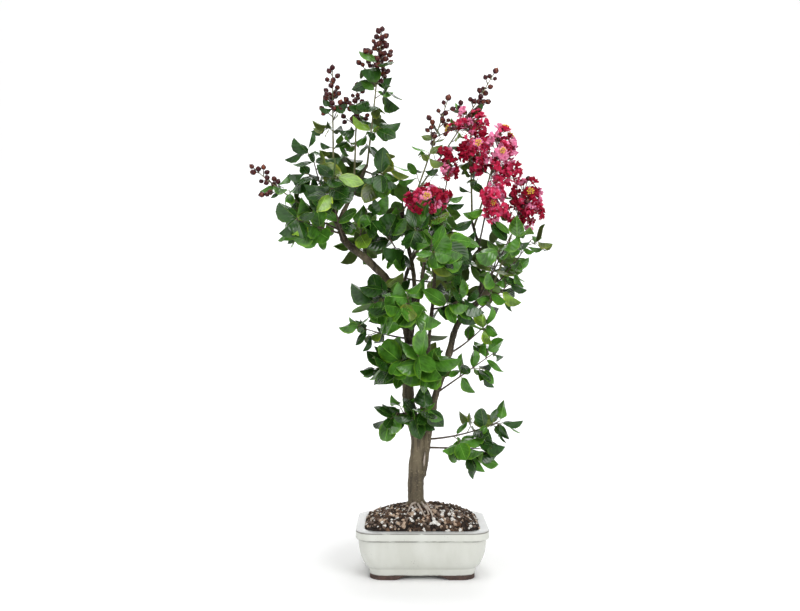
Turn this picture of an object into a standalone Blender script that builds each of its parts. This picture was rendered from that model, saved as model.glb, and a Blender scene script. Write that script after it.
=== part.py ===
"""A crape myrtle bonsai, 0.86 m tall, in flower in a glazed pot on four feet.

Metres, +Z up, seen from -Y. The origin is on the ground, under the middle of the whole plant. Limbs are
tapering tubes along short routes. Each mass of foliage grows from one stem by the same seeded rule.
"""

import math
import random
from collections import namedtuple

import bmesh
import bpy
from mathutils import Matrix, Vector
from mathutils.bvhtree import BVHTree

UP = Vector((0, 0, 1))
GOLDEN_ANGLE = math.radians(137.5)
GAP = 0.0003  # between one solid and the next

# The pot: an oblong with its corners cut off, bellied, with a flat lip
POT_CENTRE = Vector((0.0395, 0, 0))
POT_WIDTH, POT_DEPTH, POT_HEIGHT = 0.205, 0.155, 0.077
POT_CORNER = 0.022  # how much the corners of the lip are cut back
LIP_HEIGHT, LIP_OVERHANG, LIP_TOP = 0.013, 0.0035, 0.0135
FOOT_HEIGHT, FOOT_INSET = 0.0065, 0.0235
FOOT_GAP_X, FOOT_GAP_Y, FOOT_SLOPE = 0.054, 0.040, 0.008  # the arches between the feet, at the ground
BELLY_STEPS, BELLY_TURN_FROM = 5, math.radians(18)
POT_WALL, POT_FLOOR = 0.009, 0.007

# The soil: heaped up to the foot of the trunk
SOIL_TOP, SOIL_EDGE = 0.105, 0.0725
SOIL_MOUND = ((0.92, 0.36), (0.80, 0.66), (0.66, 0.88), (0.50, 1.0))  # share of its width, share of its rise

# The trunk's foot: surface roots that flare out of it
ROOT_COUNT, ROOT_SPREAD, ROOT_RISE = 6, 0.028, 0.030
ROOT_RADIUS, ROOT_END_RADIUS = 0.0058, 0.0022
ROOT_START, ROOT_BEND, ROOT_BEND_RISE, ROOT_DIVE = 0.004, 0.014, 0.004, 0.001  # out of the trunk's middle line, and up

# Each limb: its route, its radius at the foot and at the tip, and the sides of its tube
Limb = namedtuple("Limb", "route foot tip sides")
LIMBS = {
    "trunk": Limb(
        (
            (0.031, 0.000, 0.100),
            (0.030, 0.001, 0.155),
            (0.034, 0.003, 0.206),
            (0.023, 0.005, 0.246),
            (0.018, 0.005, 0.278),
            (0.018, 0.003, 0.318),
            (0.020, 0.000, 0.358),
            (0.011, -0.004, 0.404),
        ),
        0.0132,
        0.0066,
        10,
    ),
    "left_bough": Limb(
        (
            (0.011, -0.004, 0.404),
            (-0.011, -0.006, 0.454),
            (-0.043, -0.002, 0.490),
            (-0.080, 0.004, 0.521),
            (-0.089, 0.006, 0.540),
            (-0.099, 0.006, 0.563),
            (-0.101, 0.005, 0.580),
        ),
        0.0066,
        0.0050,
        10,
    ),
    "leader_bough": Limb(
        ((-0.094, 0.005, 0.551), (-0.079, -0.006, 0.581), (-0.062, -0.010, 0.613), (-0.047, -0.008, 0.644)),
        0.0040,
        0.0026,
        8,
    ),
    "right_stem": Limb(
        (
            (0.034, 0.001, 0.143),
            (0.043, 0.003, 0.161),
            (0.049, 0.004, 0.206),
            (0.056, 0.004, 0.246),
            (0.062, 0.002, 0.280),
            (0.070, 0.000, 0.302),
            (0.083, -0.004, 0.345),
            (0.096, -0.003, 0.390),
            (0.125, 0.004, 0.422),
            (0.151, 0.010, 0.447),
        ),
        0.0060,
        0.0046,
        10,
    ),
    "right_rise": Limb(
        ((0.130, 0.005, 0.427), (0.138, 0.008, 0.478), (0.130, 0.006, 0.519), (0.120, 0.002, 0.554)),
        0.0034,
        0.0022,
        8,
    ),
    "middle_stem": Limb(
        (
            (0.032, 0.002, 0.230),
            (0.043, -0.006, 0.271),
            (0.046, -0.010, 0.311),
            (0.052, -0.016, 0.382),
            (0.059, -0.014, 0.453),
            (0.056, -0.010, 0.496),
        ),
        0.0038,
        0.0026,
        8,
    ),
    "centre_bough": Limb(
        (
            (0.019, 0.000, 0.358),
            (0.027, 0.006, 0.414),
            (0.027, 0.010, 0.470),
            (0.016, 0.008, 0.526),
            (0.007, 0.004, 0.570),
        ),
        0.0042,
        0.0028,
        8,
    ),
    "back_bough": Limb(
        ((0.015, -0.002, 0.385), (0.008, 0.030, 0.430), (0.018, 0.060, 0.480), (0.039, 0.075, 0.522)),
        0.0038,
        0.0026,
        8,
    ),
    "front_bough": Limb(
        ((0.019, 0.000, 0.350), (0.027, -0.030, 0.398), (0.036, -0.055, 0.445), (0.042, -0.066, 0.487)),
        0.0036,
        0.0024,
        8,
    ),
}
LIMB_STATION = 0.034  # about how far apart the rings of a limb's tube are
BOUGHS_ON = {
    "left_bough": "trunk",
    "leader_bough": "left_bough",
    "right_stem": "trunk",
    "right_rise": "right_stem",
    "middle_stem": "trunk",
    "centre_bough": "trunk",
    "back_bough": "trunk",
    "front_bough": "trunk",
}

# Each mass of foliage: the limb its stem grows from and how far along, the stem's tip, how far it sags on
# the way, how far leaves may stand from it, their length, and its side twigs, buds and blossoms
Mass = namedtuple(
    "Mass", "limb at tip sag reach leaf twigs bare buds blossoms", defaults=(0.12, 0.046, 0.031, 3, 0.2, 0, 0)
)
MASSES = {
    "far_left_spray": Mass("left_bough", 0.87, (-0.226, 0.000, 0.638), 0.10, 0.036, 0.026, 3, 0.15, 5),
    "left_low_front": Mass("left_bough", 0.78, (-0.158, -0.045, 0.554), 0.0, 0.046, 0.034, 3, 0.3),
    "left_low_back": Mass("left_bough", 0.81, (-0.155, 0.062, 0.580), 0.05, 0.046, 0.031, 3, 0.3),
    "left_upper": Mass("left_bough", 0.94, (-0.134, -0.018, 0.662), 0.30, 0.045, 0.033, 4, 0.1),
    "left_bud_shoot": Mass("left_bough", 1.0, (-0.104, 0.018, 0.798), -0.02, 0.030, 0.024, 2, 0.35, 8),
    "third_shoot": Mass("leader_bough", 0.55, (-0.064, 0.016, 0.770), 0.06, 0.030, 0.024, 2, 0.35, 6),
    "top_leader": Mass("leader_bough", 1.0, (-0.024, -0.006, 0.852), 0.04, 0.042, 0.034, 3, 0.05, 12),
    "leader_side": Mass("leader_bough", 0.90, (-0.020, -0.034, 0.624), 0.10, 0.042, 0.036, 2, 0.25),
    "left_heart": Mass("left_bough", 0.72, (-0.102, -0.064, 0.615), 0.25, 0.046, 0.034, 3, 0.25),
    "left_back": Mass("leader_bough", 0.30, (-0.092, 0.070, 0.655), 0.10, 0.046, 0.032, 4, 0.25),
    "left_inner": Mass("left_bough", 0.62, (-0.048, -0.030, 0.564), 0.05, 0.044, 0.033, 3, 0.25),
    "back_left": Mass("left_bough", 0.50, (-0.059, 0.092, 0.549), 0.10, 0.048, 0.032, 4, 0.25),
    "top_right_shoot": Mass("centre_bough", 1.0, (0.155, 0.014, 0.792), 0.05, 0.034, 0.026, 3, 0.12, 7),
    "middle_shoot": Mass("centre_bough", 0.90, (0.079, -0.012, 0.742), 0.05, 0.036, 0.027, 3, 0.10, 5),
    "centre_blossom": Mass("centre_bough", 0.80, (0.066, -0.038, 0.592), 0.15, 0.034, 0.026, 1, 0.3, 2, 7),
    "centre_top": Mass("centre_bough", 0.66, (0.042, -0.058, 0.549), 0.10, 0.046, 0.034, 4, 0.25),
    "centre_top_back": Mass("centre_bough", 0.72, (0.008, 0.060, 0.603), 0.10, 0.048, 0.032, 4, 0.25),
    "centre_left": Mass("centre_bough", 0.55, (-0.020, -0.028, 0.545), 0.15, 0.044, 0.033, 3, 0.25),
    "slender_shoot": Mass("middle_stem", 1.0, (0.087, -0.012, 0.663), 0.05, 0.032, 0.026, 2, 0.25, 0, 3),
    "high_blossom": Mass("right_rise", 1.0, (0.117, 0.000, 0.716), 0.02, 0.036, 0.026, 1, 0.2, 2, 8),
    "main_blossom": Mass("right_rise", 0.93, (0.163, -0.022, 0.690), 0.10, 0.036, 0.026, 0, 0.6, 2, 7),
    "column_blossom": Mass("right_rise", 0.70, (0.150, -0.042, 0.644), 0.14, 0.030, 0.026, 0, 0.6, 0, 6),
    "right_blossom": Mass("right_stem", 1.0, (0.209, 0.014, 0.618), 0.12, 0.036, 0.026, 1, 0.35, 3, 8),
    "centre_right": Mass("middle_stem", 0.95, (0.090, -0.042, 0.529), 0.15, 0.046, 0.032, 4, 0.2),
    "right_tip": Mass("right_stem", 0.94, (0.214, 0.000, 0.526), 0.10, 0.042, 0.026, 4, 0.2),
    "right_upper": Mass("right_stem", 0.86, (0.176, -0.042, 0.529), 0.10, 0.046, 0.031, 4, 0.25),
    "right_low": Mass("right_stem", 0.79, (0.176, -0.026, 0.455), 0.10, 0.042, 0.030, 3, 0.3),
    "right_back": Mass("right_stem", 0.89, (0.172, 0.072, 0.514), 0.10, 0.048, 0.031, 4, 0.25),
    "right_mid": Mass("right_stem", 0.42, (0.152, -0.012, 0.345), 0.0, 0.040, 0.030, 3, 0.3),
    "right_inner": Mass("right_stem", 0.62, (0.140, -0.026, 0.392), 0.10, 0.040, 0.030, 2, 0.3),
    "column_low_left": Mass("trunk", 0.50, (0.000, -0.022, 0.252), 0.10, 0.036, 0.029, 1, 0.3),
    "column_low": Mass("trunk", 0.46, (0.036, -0.036, 0.256), 0.10, 0.036, 0.031, 2, 0.3),
    "column_front": Mass("middle_stem", 0.30, (0.046, -0.058, 0.341), 0.10, 0.046, 0.037, 3, 0.3),
    "column_left": Mass("trunk", 0.72, (-0.001, -0.036, 0.333), 0.10, 0.044, 0.036, 3, 0.3),
    "left_small": Mass("trunk", 0.88, (-0.062, -0.006, 0.388), 0.05, 0.036, 0.027, 3, 0.25),
    "left_sprout": Mass("trunk", 0.76, (-0.034, 0.004, 0.321), 0.05, 0.030, 0.024, 1, 0.3),
    "centre_low_left": Mass("left_bough", 0.12, (-0.022, -0.040, 0.430), 0.10, 0.044, 0.034, 3, 0.3),
    "low_branch": Mass("right_stem", 0.20, (0.164, -0.006, 0.238), 0.10, 0.040, 0.028, 3, 0.25),
    "low_branch_front": Mass("right_stem", 0.16, (0.130, -0.026, 0.197), 0.0, 0.042, 0.034, 3, 0.25),
    "back_low": Mass("trunk", 0.70, (0.040, 0.064, 0.345), 0.10, 0.046, 0.033, 4, 0.3),
    "back_mid": Mass("back_bough", 0.45, (-0.014, 0.094, 0.447), 0.10, 0.048, 0.033, 4, 0.25),
    "back_high": Mass("back_bough", 1.0, (0.066, 0.104, 0.582), 0.05, 0.048, 0.032, 4, 0.1),
    "back_right": Mass("back_bough", 0.60, (0.103, 0.088, 0.464), 0.10, 0.048, 0.032, 4, 0.3),
    "front_mid": Mass("front_bough", 0.60, (0.014, -0.090, 0.425), 0.15, 0.046, 0.035, 3, 0.25),
    "front_high": Mass("front_bough", 1.0, (0.062, -0.106, 0.510), 0.08, 0.046, 0.033, 4, 0.1),
    "front_right": Mass("middle_stem", 0.70, (0.100, -0.066, 0.432), 0.10, 0.046, 0.034, 4, 0.25),
}

# The growth rule
STEM_STEPS = 5
STEM_FOOT, STEM_TIP = 0.0019, 0.0009  # radii
TWIG_FOOT, TWIG_TIP, STALK_RADIUS = 0.0009, 0.0006, 0.0006
TWIG_SHARE, TWIG_SHORTEN = 0.62, 0.45  # a twig's length is a share of the reach, and shortens up the stem
TWIG_TILT, TWIG_LIFT = math.radians(52), 0.2
TWIG_PAIR, TWIG_END_LEAF = (0.45, 0.95), 0.96  # where along it the twig bears leaves
LEAF_PAIR_STEP, LEAF_TILT, LEAF_DROOP = 0.030, math.radians(58), 0.25
LEAF_LARGER = 1.22  # than life, because there are fewer
FACE_UP, FACE_OUT, FACE_WANDER = 0.6, 0.5, 0.75  # how much each counts in the way a leaf faces
LEAVES_TO = 0.2  # how far up the zone of buds or blossoms there are leaves as well
LEAF_WIDE, LEAF_THICK, LEAF_WIDEST, LEAF_SAG = 0.68, 0.036, 0.52, 0.10  # shares of its length
LEAF_SUNK, LEAF_NECK = 0.0002, 0.0012  # how deep its root is in, and how much of it may meet another root
BUD_RADIUS, BUD_STALK, BUD_ZONE, BUD_FORWARD = 0.0042, (0.0072, 0.0152), 0.30, 0.6
BLOSSOM_RADIUS, BLOSSOM_WAIST, BLOSSOM_RISE, BLOSSOM_THICK = 0.0155, 0.0095, 0.003, 0.0025
BLOSSOM_STALK, BLOSSOM_ZONE, BLOSSOM_FORWARD = (0.018, 0.024), 0.45, 0.35
NEIGHBOUR_SHARE = 1.25  # how much nearer to its own stem than to another a leaf's middle lies, at least
CLEARANCE = 0.0006  # by which a shape is swollen when it is tried against its neighbours

# Colours: base colour, roughness
FINISHES = {
    "ivory_glaze": ((0.74, 0.75, 0.68), 0.16),
    "potting_soil": ((0.09, 0.06, 0.045), 0.95),
    "bark": ((0.21, 0.16, 0.11), 0.75),
    "young_twig": ((0.24, 0.26, 0.10), 0.6),
    "leaf_green": ((0.045, 0.17, 0.03), 0.35),
    "bud_maroon": ((0.12, 0.015, 0.02), 0.25),
    "petal_crimson": ((0.72, 0.03, 0.12), 0.55),
}
PLANT_FINISHES = ("young_twig", "leaf_green", "bud_maroon", "petal_crimson")
TWIG, LEAF, BUD, PETAL = range(4)


def clear_scene():
    for obj in list(bpy.data.objects):
        bpy.data.objects.remove(obj)


def collection(name, parent=None):
    made = bpy.data.collections.new(name)
    (parent or bpy.context.scene.collection).children.link(made)
    return made


def finish(name):
    """The named material, made on its first use."""
    if name in bpy.data.materials:
        return bpy.data.materials[name]
    colour, roughness = FINISHES[name]
    made = bpy.data.materials.new(name)
    made.use_nodes = True
    made.diffuse_color = (*colour, 1)
    shader = made.node_tree.nodes["Principled BSDF"]
    shader.inputs["Base Color"].default_value = (*colour, 1)
    shader.inputs["Roughness"].default_value = roughness
    shader.inputs["Metallic"].default_value = 0
    return made


def object_from(name, bm, into, finishes, index=0):
    """An object made from a bmesh, all of one finish of those that it lists."""
    mesh = bpy.data.meshes.new(name)
    bm.to_mesh(mesh)
    bm.free()
    for each in finishes:
        mesh.materials.append(finish(each))
    mesh.polygons.foreach_set("material_index", [index] * len(mesh.polygons))
    made = bpy.data.objects.new(name, mesh)
    into.objects.link(made)
    return made


# Routes


def smooth_route(points, steps=4):
    """A Catmull-Rom curve through the points."""
    points = [Vector(p) for p in points]
    ends = [2 * points[0] - points[1], *points, 2 * points[-1] - points[-2]]
    curve = []
    for a, b, c, d in zip(ends, ends[1:], ends[2:], ends[3:]):
        for i in range(steps):
            t = i / steps
            pull = 2 * a - 5 * b + 4 * c - d
            swing = 3 * (b - c) + d - a
            curve.append(b + 0.5 * t * (c - a + t * (pull + t * swing)))
    return [*curve, points[-1]]


def bowed_route(start, tip, sag, steps):
    """A curve from start to tip whose middle hangs below the straight line by half of sag times its length."""
    bend = start.lerp(tip, 0.5) - UP * sag * (tip - start).length
    return [start.lerp(bend, i / steps).lerp(bend.lerp(tip, i / steps), i / steps) for i in range(steps + 1)]


def station(route, share):
    """The point at this share of the route's length, and the route's direction there."""
    lengths = [(b - a).length for a, b in zip(route, route[1:])]
    left = share * sum(lengths)
    for a, b, length in zip(route, route[1:], lengths):
        if left <= length or b is route[-1]:
            break
        left -= length
    return a.lerp(b, min(left / length, 1)), (b - a).normalized()


def route_length(route):
    return sum((b - a).length for a, b in zip(route, route[1:]))


def tapered(foot, tip, count):
    return [foot + (tip - foot) * i / (count - 1) for i in range(count)]


def square_to(direction, turn):
    """A unit vector square to the direction, turned about it."""
    side = direction.cross(UP if abs(direction.z) < 0.9 else Vector((1, 0, 0))).normalized()
    return Matrix.Rotation(turn, 3, direction) @ side


# Shapes


def tube_mesh(route, radii, sides):
    """A closed tube along the route: a curve whose bevel is a polygon, made a mesh."""
    section = bpy.data.curves.new("section", "CURVE")
    ring = section.splines.new("POLY")
    ring.points.add(sides - 1)
    for i, point in enumerate(ring.points):
        turn = 2 * math.pi * i / sides
        point.co = (math.cos(turn), math.sin(turn), 0, 1)
    ring.use_cyclic_u = True
    section_object = bpy.data.objects.new("section", section)
    path = bpy.data.curves.new("path", "CURVE")
    path.dimensions = "3D"
    path.bevel_mode = "OBJECT"
    path.bevel_object = section_object
    path.use_fill_caps = True
    line = path.splines.new("POLY")
    line.points.add(len(route) - 1)
    for point, place, radius in zip(line.points, route, radii):
        point.co = (*place, 1)
        point.radius = radius
    path_object = bpy.data.objects.new("path", path)
    scene = bpy.context.scene.collection
    scene.objects.link(section_object)
    scene.objects.link(path_object)
    graph = bpy.context.evaluated_depsgraph_get()
    mesh = bpy.data.meshes.new_from_object(path_object.evaluated_get(graph))
    for obj in (path_object, section_object):
        bpy.data.objects.remove(obj)
    bm = bmesh.new()
    bm.from_mesh(mesh)
    bpy.data.meshes.remove(mesh)
    bmesh.ops.remove_doubles(bm, verts=bm.verts, dist=1e-6)
    bmesh.ops.recalc_face_normals(bm, faces=bm.faces)
    return bm


def stick_mesh(start, end, foot, tip):
    """A straight three-sided twig, tapering from start to end."""
    bm = bmesh.new()
    along = end - start
    bmesh.ops.create_cone(bm, cap_ends=True, segments=3, radius1=foot, radius2=tip, depth=along.length)
    turn = UP.rotation_difference(along).to_matrix().to_4x4()
    bmesh.ops.transform(bm, verts=bm.verts, matrix=Matrix.Translation(start.lerp(end, 0.5)) @ turn)
    return bm


def facing(along, normal):
    """The turn that lays X along one vector with Z as near the other as it goes."""
    x = along.normalized()
    y = normal.cross(x).normalized()
    return Matrix((x, y, x.cross(y))).transposed().to_4x4()


def leaf_mesh(leaf, swell=0):
    """A thin blade, flat below and ridged above, widest past its middle, with its tip hanging."""
    bm = bmesh.new()
    bmesh.ops.create_uvsphere(bm, u_segments=3, v_segments=2, radius=1)
    length = leaf.length
    for v in bm.verts:
        ridge, across, end = v.co
        along = (end + 1) / 2 if abs(end) > 0.5 else LEAF_WIDEST
        v.co.x = along * length + end * swell
        v.co.y = across * (length * LEAF_WIDE + 2 * swell) / math.sqrt(3)
        v.co.z = ridge * (length * LEAF_THICK + 2 * swell) / 1.5 - LEAF_SAG * length * along**2
    place = Matrix.Translation(leaf.root) @ facing(leaf.along, leaf.normal)
    bmesh.ops.transform(bm, verts=bm.verts, matrix=place)
    return bm


def bud_mesh(bud, swell=0):
    bm = bmesh.new()
    bmesh.ops.create_icosphere(bm, subdivisions=1, radius=BUD_RADIUS + swell)
    bmesh.ops.translate(bm, verts=bm.verts, vec=bud.place)
    return bm


def blossom_mesh(blossom, swell=0):
    """A shallow dish with six points, for the six crinkled petals."""
    bm = bmesh.new()
    bmesh.ops.create_uvsphere(bm, u_segments=12, v_segments=2, radius=1)
    for v in bm.verts:
        if abs(v.co.z) > 0.5:
            v.co.z *= BLOSSOM_THICK + swell
            continue
        turn = math.atan2(v.co.y, v.co.x)
        outer = round(turn / math.radians(30)) % 2 == 0
        radius = (BLOSSOM_RADIUS if outer else BLOSSOM_WAIST) + swell
        v.co = (radius * math.cos(turn), radius * math.sin(turn), BLOSSOM_RISE if outer else 0)
    turn = UP.rotation_difference(blossom.along).to_matrix().to_4x4()
    bmesh.ops.transform(bm, verts=bm.verts, matrix=Matrix.Translation(blossom.place) @ turn)
    return bm


# The pot and the soil


def oblong(width, depth, corner, z):
    """The eight corners of an oblong with its corners cut off, anticlockwise."""
    x, y = width / 2, depth / 2
    quarter = ((x, y - corner), (x - corner, y))
    around = [
        *quarter,
        *((-px, py) for px, py in reversed(quarter)),
        *((-px, -py) for px, py in quarter),
        *((px, -py) for px, py in reversed(quarter)),
    ]
    return [POT_CENTRE + Vector((px, py, z)) for px, py in around]


def stacked_mesh(rings):
    """A closed skin through rings of eight corners, from its floor round to its last ring."""
    bm = bmesh.new()
    rows = [[bm.verts.new(p) for p in ring] for ring in rings]
    for low, high in zip(rows, rows[1:]):
        for i in range(len(low)):
            j = (i + 1) % len(low)
            bm.faces.new((low[i], low[j], high[j], high[i]))
    bm.faces.new(reversed(rows[0]))
    bm.faces.new(rows[-1])
    bmesh.ops.recalc_face_normals(bm, faces=bm.faces)
    return bm


def pot_ring(inset, z):
    """The pot's outline, this far in from the edge of its lip."""
    corner = POT_CORNER - inset * (2 - math.sqrt(2))
    return oblong(POT_WIDTH - 2 * inset, POT_DEPTH - 2 * inset, corner, z)


def cut(obj, bm, cutters):
    """Takes the bmesh's shape out of the object."""
    cutter = object_from(obj.name + "_cutter", bm, cutters, ())
    cutter.hide_render = True
    cutter.display_type = "WIRE"
    modifier = obj.modifiers.new(cutter.name, "BOOLEAN")
    modifier.operation = "DIFFERENCE"
    modifier.solver = "EXACT"
    modifier.object = cutter


def arch_mesh(half_width, reach, along_x):
    """What is cut away between two feet: a block with sloping ends, from under the ground to the pot's base."""
    bm = bmesh.new()
    bmesh.ops.create_cube(bm, size=2)
    for v in bm.verts:
        across = (half_width - (FOOT_SLOPE if v.co.z > 0 else 0)) * v.co.x
        v.co = (across, reach * v.co.y, FOOT_HEIGHT * (1 if v.co.z > 0 else -1))
    if along_x:
        bmesh.ops.rotate(bm, verts=bm.verts, matrix=Matrix.Rotation(math.pi / 2, 3, "Z"))
    bmesh.ops.translate(bm, verts=bm.verts, vec=POT_CENTRE)
    return bm


def make_pot(into, cutters):
    belly_top = POT_HEIGHT - LIP_HEIGHT
    belly_inset = LIP_OVERHANG
    rings = [pot_ring(FOOT_INSET, 0), pot_ring(FOOT_INSET, FOOT_HEIGHT)]
    for i in range(1, BELLY_STEPS + 1):
        turn = BELLY_TURN_FROM + (math.pi / 2 - BELLY_TURN_FROM) * i / BELLY_STEPS
        out = (math.sin(turn) - math.sin(BELLY_TURN_FROM)) / (1 - math.sin(BELLY_TURN_FROM))
        rise = 1 - math.cos(turn) / math.cos(BELLY_TURN_FROM)
        inset = FOOT_INSET + (belly_inset - FOOT_INSET) * out
        rings.append(pot_ring(inset, FOOT_HEIGHT + (belly_top - FOOT_HEIGHT) * rise))
    rings += [pot_ring(0, belly_top), pot_ring(0, POT_HEIGHT), pot_ring(LIP_TOP, POT_HEIGHT)]
    rings += [pot_ring(FOOT_INSET + POT_WALL / 2, FOOT_HEIGHT + POT_FLOOR)]
    pot = object_from("pot", stacked_mesh(rings), into, ["ivory_glaze"])
    cut(pot, arch_mesh(FOOT_GAP_X / 2, POT_DEPTH, False), cutters)
    cut(pot, arch_mesh(FOOT_GAP_Y / 2, POT_WIDTH, True), cutters)


def make_soil(into):
    edge_inset = LIP_TOP + GAP
    floor_inset = FOOT_INSET + POT_WALL / 2 + GAP
    rings = [pot_ring(floor_inset, FOOT_HEIGHT + POT_FLOOR + GAP)]
    share = (SOIL_EDGE - FOOT_HEIGHT - POT_FLOOR) / (POT_HEIGHT - FOOT_HEIGHT - POT_FLOOR)
    rings.append(pot_ring(floor_inset + (edge_inset - floor_inset) * share + GAP, SOIL_EDGE))
    width, depth = POT_WIDTH - 2 * edge_inset, POT_DEPTH - 2 * edge_inset
    for across, rise in SOIL_MOUND:
        z = SOIL_EDGE + (SOIL_TOP - SOIL_EDGE) * rise
        rings.append(oblong(width * across, depth * across, POT_CORNER * across, z))
    object_from("soil", stacked_mesh(rings), into, ["potting_soil"])


# The trunk and the boughs


def limb_route(name):
    """The limb's middle line, as evenly spaced points."""
    fine = smooth_route(LIMBS[name].route)
    count = round(route_length(fine) / LIMB_STATION)
    return [station(fine, i / count)[0] for i in range(count + 1)]


def limb_mesh(name, swell=0):
    """The limb's tube; swollen, it is also longer at both ends."""
    limb = LIMBS[name]
    route = limb_route(name)
    radii = [r + swell for r in tapered(limb.foot, limb.tip, len(route))]
    route[0] = route[0] - (route[1] - route[0]).normalized() * swell
    route[-1] = route[-1] + (route[-1] - route[-2]).normalized() * swell
    return tube_mesh(route, radii, limb.sides)


def root_mesh(i):
    """One surface root: out of the trunk's side, down and away over the soil."""
    rnd = random.Random(f"root {i}")
    turn = 2 * math.pi * (i + rnd.uniform(-0.25, 0.25)) / ROOT_COUNT
    out = Vector((math.cos(turn), math.sin(turn), 0))
    foot = Vector(LIMBS["trunk"].route[0])
    foot.z = SOIL_TOP
    spread = ROOT_SPREAD * rnd.uniform(0.8, 1.1)
    start = foot + out * ROOT_START + UP * ROOT_RISE
    bend = foot + out * ROOT_BEND + UP * ROOT_BEND_RISE
    end = foot + out * spread - UP * ROOT_DIVE
    route = [start.lerp(bend, t).lerp(bend.lerp(end, t), t) for t in (0, 0.35, 0.65, 1)]
    return tube_mesh(route, tapered(ROOT_RADIUS, ROOT_END_RADIUS, len(route)), 5)


def joined(name, base, pieces, into, finishes):
    """The base and all the pieces made one closed body by one Boolean union on a collection.

    It keeps only the largest shell, so a loose scrap is dropped and a sealed hollow is filled.
    """
    for solver in ("EXACT", "MANIFOLD"):
        modifier = base.modifiers.new("join", "BOOLEAN")
        modifier.operation = "UNION"
        modifier.operand_type = "COLLECTION"
        modifier.collection = pieces
        modifier.solver = solver
        graph = bpy.context.evaluated_depsgraph_get()
        mesh = bpy.data.meshes.new_from_object(base.evaluated_get(graph))
        base.modifiers.remove(modifier)
        bm = bmesh.new()
        bm.from_mesh(mesh)
        bpy.data.meshes.remove(mesh)
        keep_largest_shell(bm)
        if all(edge.is_manifold for edge in bm.edges):
            break
    for obj in [*pieces.objects, base]:
        bpy.data.objects.remove(obj)
    bpy.data.collections.remove(pieces)
    mesh = bpy.data.meshes.new(name)
    bm.to_mesh(mesh)
    bm.free()
    for each in finishes:
        mesh.materials.append(finish(each))
    made = bpy.data.objects.new(name, mesh)
    into.objects.link(made)
    return made


def keep_largest_shell(bm):
    bm.verts.ensure_lookup_table()
    seen, shells = set(), []
    for start in bm.verts:
        if start in seen:
            continue
        shell, border = {start}, [start]
        while border:
            vert = border.pop()
            for edge in vert.link_edges:
                other = edge.other_vert(vert)
                if other not in shell:
                    shell.add(other)
                    border.append(other)
        seen |= shell
        shells.append(shell)
    shells.sort(key=len)
    loose = [v for shell in shells[:-1] for v in shell]
    bmesh.ops.delete(bm, geom=loose, context="VERTS")


def make_trunk(into, scratch):
    base = object_from("trunk_base", limb_mesh("trunk"), scratch, ["bark"])
    pieces = collection("roots", scratch)
    for i in range(ROOT_COUNT):
        object_from(f"root_{i}", root_mesh(i), pieces, ["bark"])
    trunk = joined("trunk", base, pieces, into, ["bark"])
    bm = bmesh.new()
    bm.from_mesh(trunk.data)
    ground = Vector((0, 0, SOIL_TOP + GAP))
    whole = [*bm.verts, *bm.edges, *bm.faces]
    bmesh.ops.bisect_plane(bm, geom=whole, plane_co=ground, plane_no=-UP, clear_outer=True)
    bmesh.ops.holes_fill(bm, edges=[e for e in bm.edges if e.is_boundary])
    bmesh.ops.triangulate(bm, faces=bm.faces)
    bm.to_mesh(trunk.data)
    bm.free()


def seated(bm, on, scratch):
    """The tube with its foot cut to the face of the limb that it grows from, a gap away."""
    tube = object_from("tube", bm, scratch, ())
    cutter = object_from("limb", limb_mesh(on, GAP), scratch, ())
    modifier = tube.modifiers.new("seat", "BOOLEAN")
    modifier.operation = "DIFFERENCE"
    modifier.solver = "EXACT"
    modifier.object = cutter
    graph = bpy.context.evaluated_depsgraph_get()
    mesh = bpy.data.meshes.new_from_object(tube.evaluated_get(graph))
    for obj in (tube, cutter):
        bpy.data.objects.remove(obj)
    cut_tube = bmesh.new()
    cut_tube.from_mesh(mesh)
    bpy.data.meshes.remove(mesh)
    keep_largest_shell(cut_tube)
    return cut_tube


def make_limbs(into, scratch):
    make_trunk(into, scratch)
    for name, on in BOUGHS_ON.items():
        object_from(name, seated(limb_mesh(name), on, scratch), into, ["bark"])


# The masses of foliage

# A leaf, bud or blossom with a twig is borne by that twig, and one without by the stem
Leaf = namedtuple("Leaf", "twig root along normal length")
Bud = namedtuple("Bud", "foot place")
Blossom = namedtuple("Blossom", "foot place along")


def stem_route(mass):
    start, _ = station(limb_route(mass.limb), mass.at)
    return bowed_route(start, Vector(mass.tip), mass.sag, STEM_STEPS)


def leaf_at(twig, foot, heading, turn, length, rnd):
    """A leaf that leaves its twig at a tilt, face up and outwards, hanging a little."""
    side = square_to(heading, turn)
    along = heading * math.cos(LEAF_TILT) + side * math.sin(LEAF_TILT) - UP * LEAF_DROOP * rnd.uniform(0, 2)
    along.normalize()
    outward = Vector((foot.x, foot.y, 0)).normalized()
    wander = Vector([rnd.uniform(-1, 1) for _ in range(3)])
    face = UP * FACE_UP + outward * FACE_OUT + wander * FACE_WANDER
    normal = (face - along * face.dot(along)).normalized()
    length *= LEAF_LARGER * rnd.uniform(0.75, 1.12)
    return Leaf(twig, foot - along * LEAF_SUNK, along, normal, length)


def leaf_pairs(twig, route, first, last, count, length, rnd):
    """Leaves in nearly opposite pairs, each pair turned a quarter from the last."""
    turn = rnd.uniform(0, math.tau)
    for i in range(count):
        share = first + (last - first) * (i + 0.5) / count
        for side in (turn, turn + math.pi):
            foot, heading = station(route, share + rnd.uniform(-0.02, 0.02))
            yield leaf_at(twig, foot, heading, side + rnd.uniform(-0.35, 0.35), length, rnd)
        turn += math.pi / 2


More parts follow.
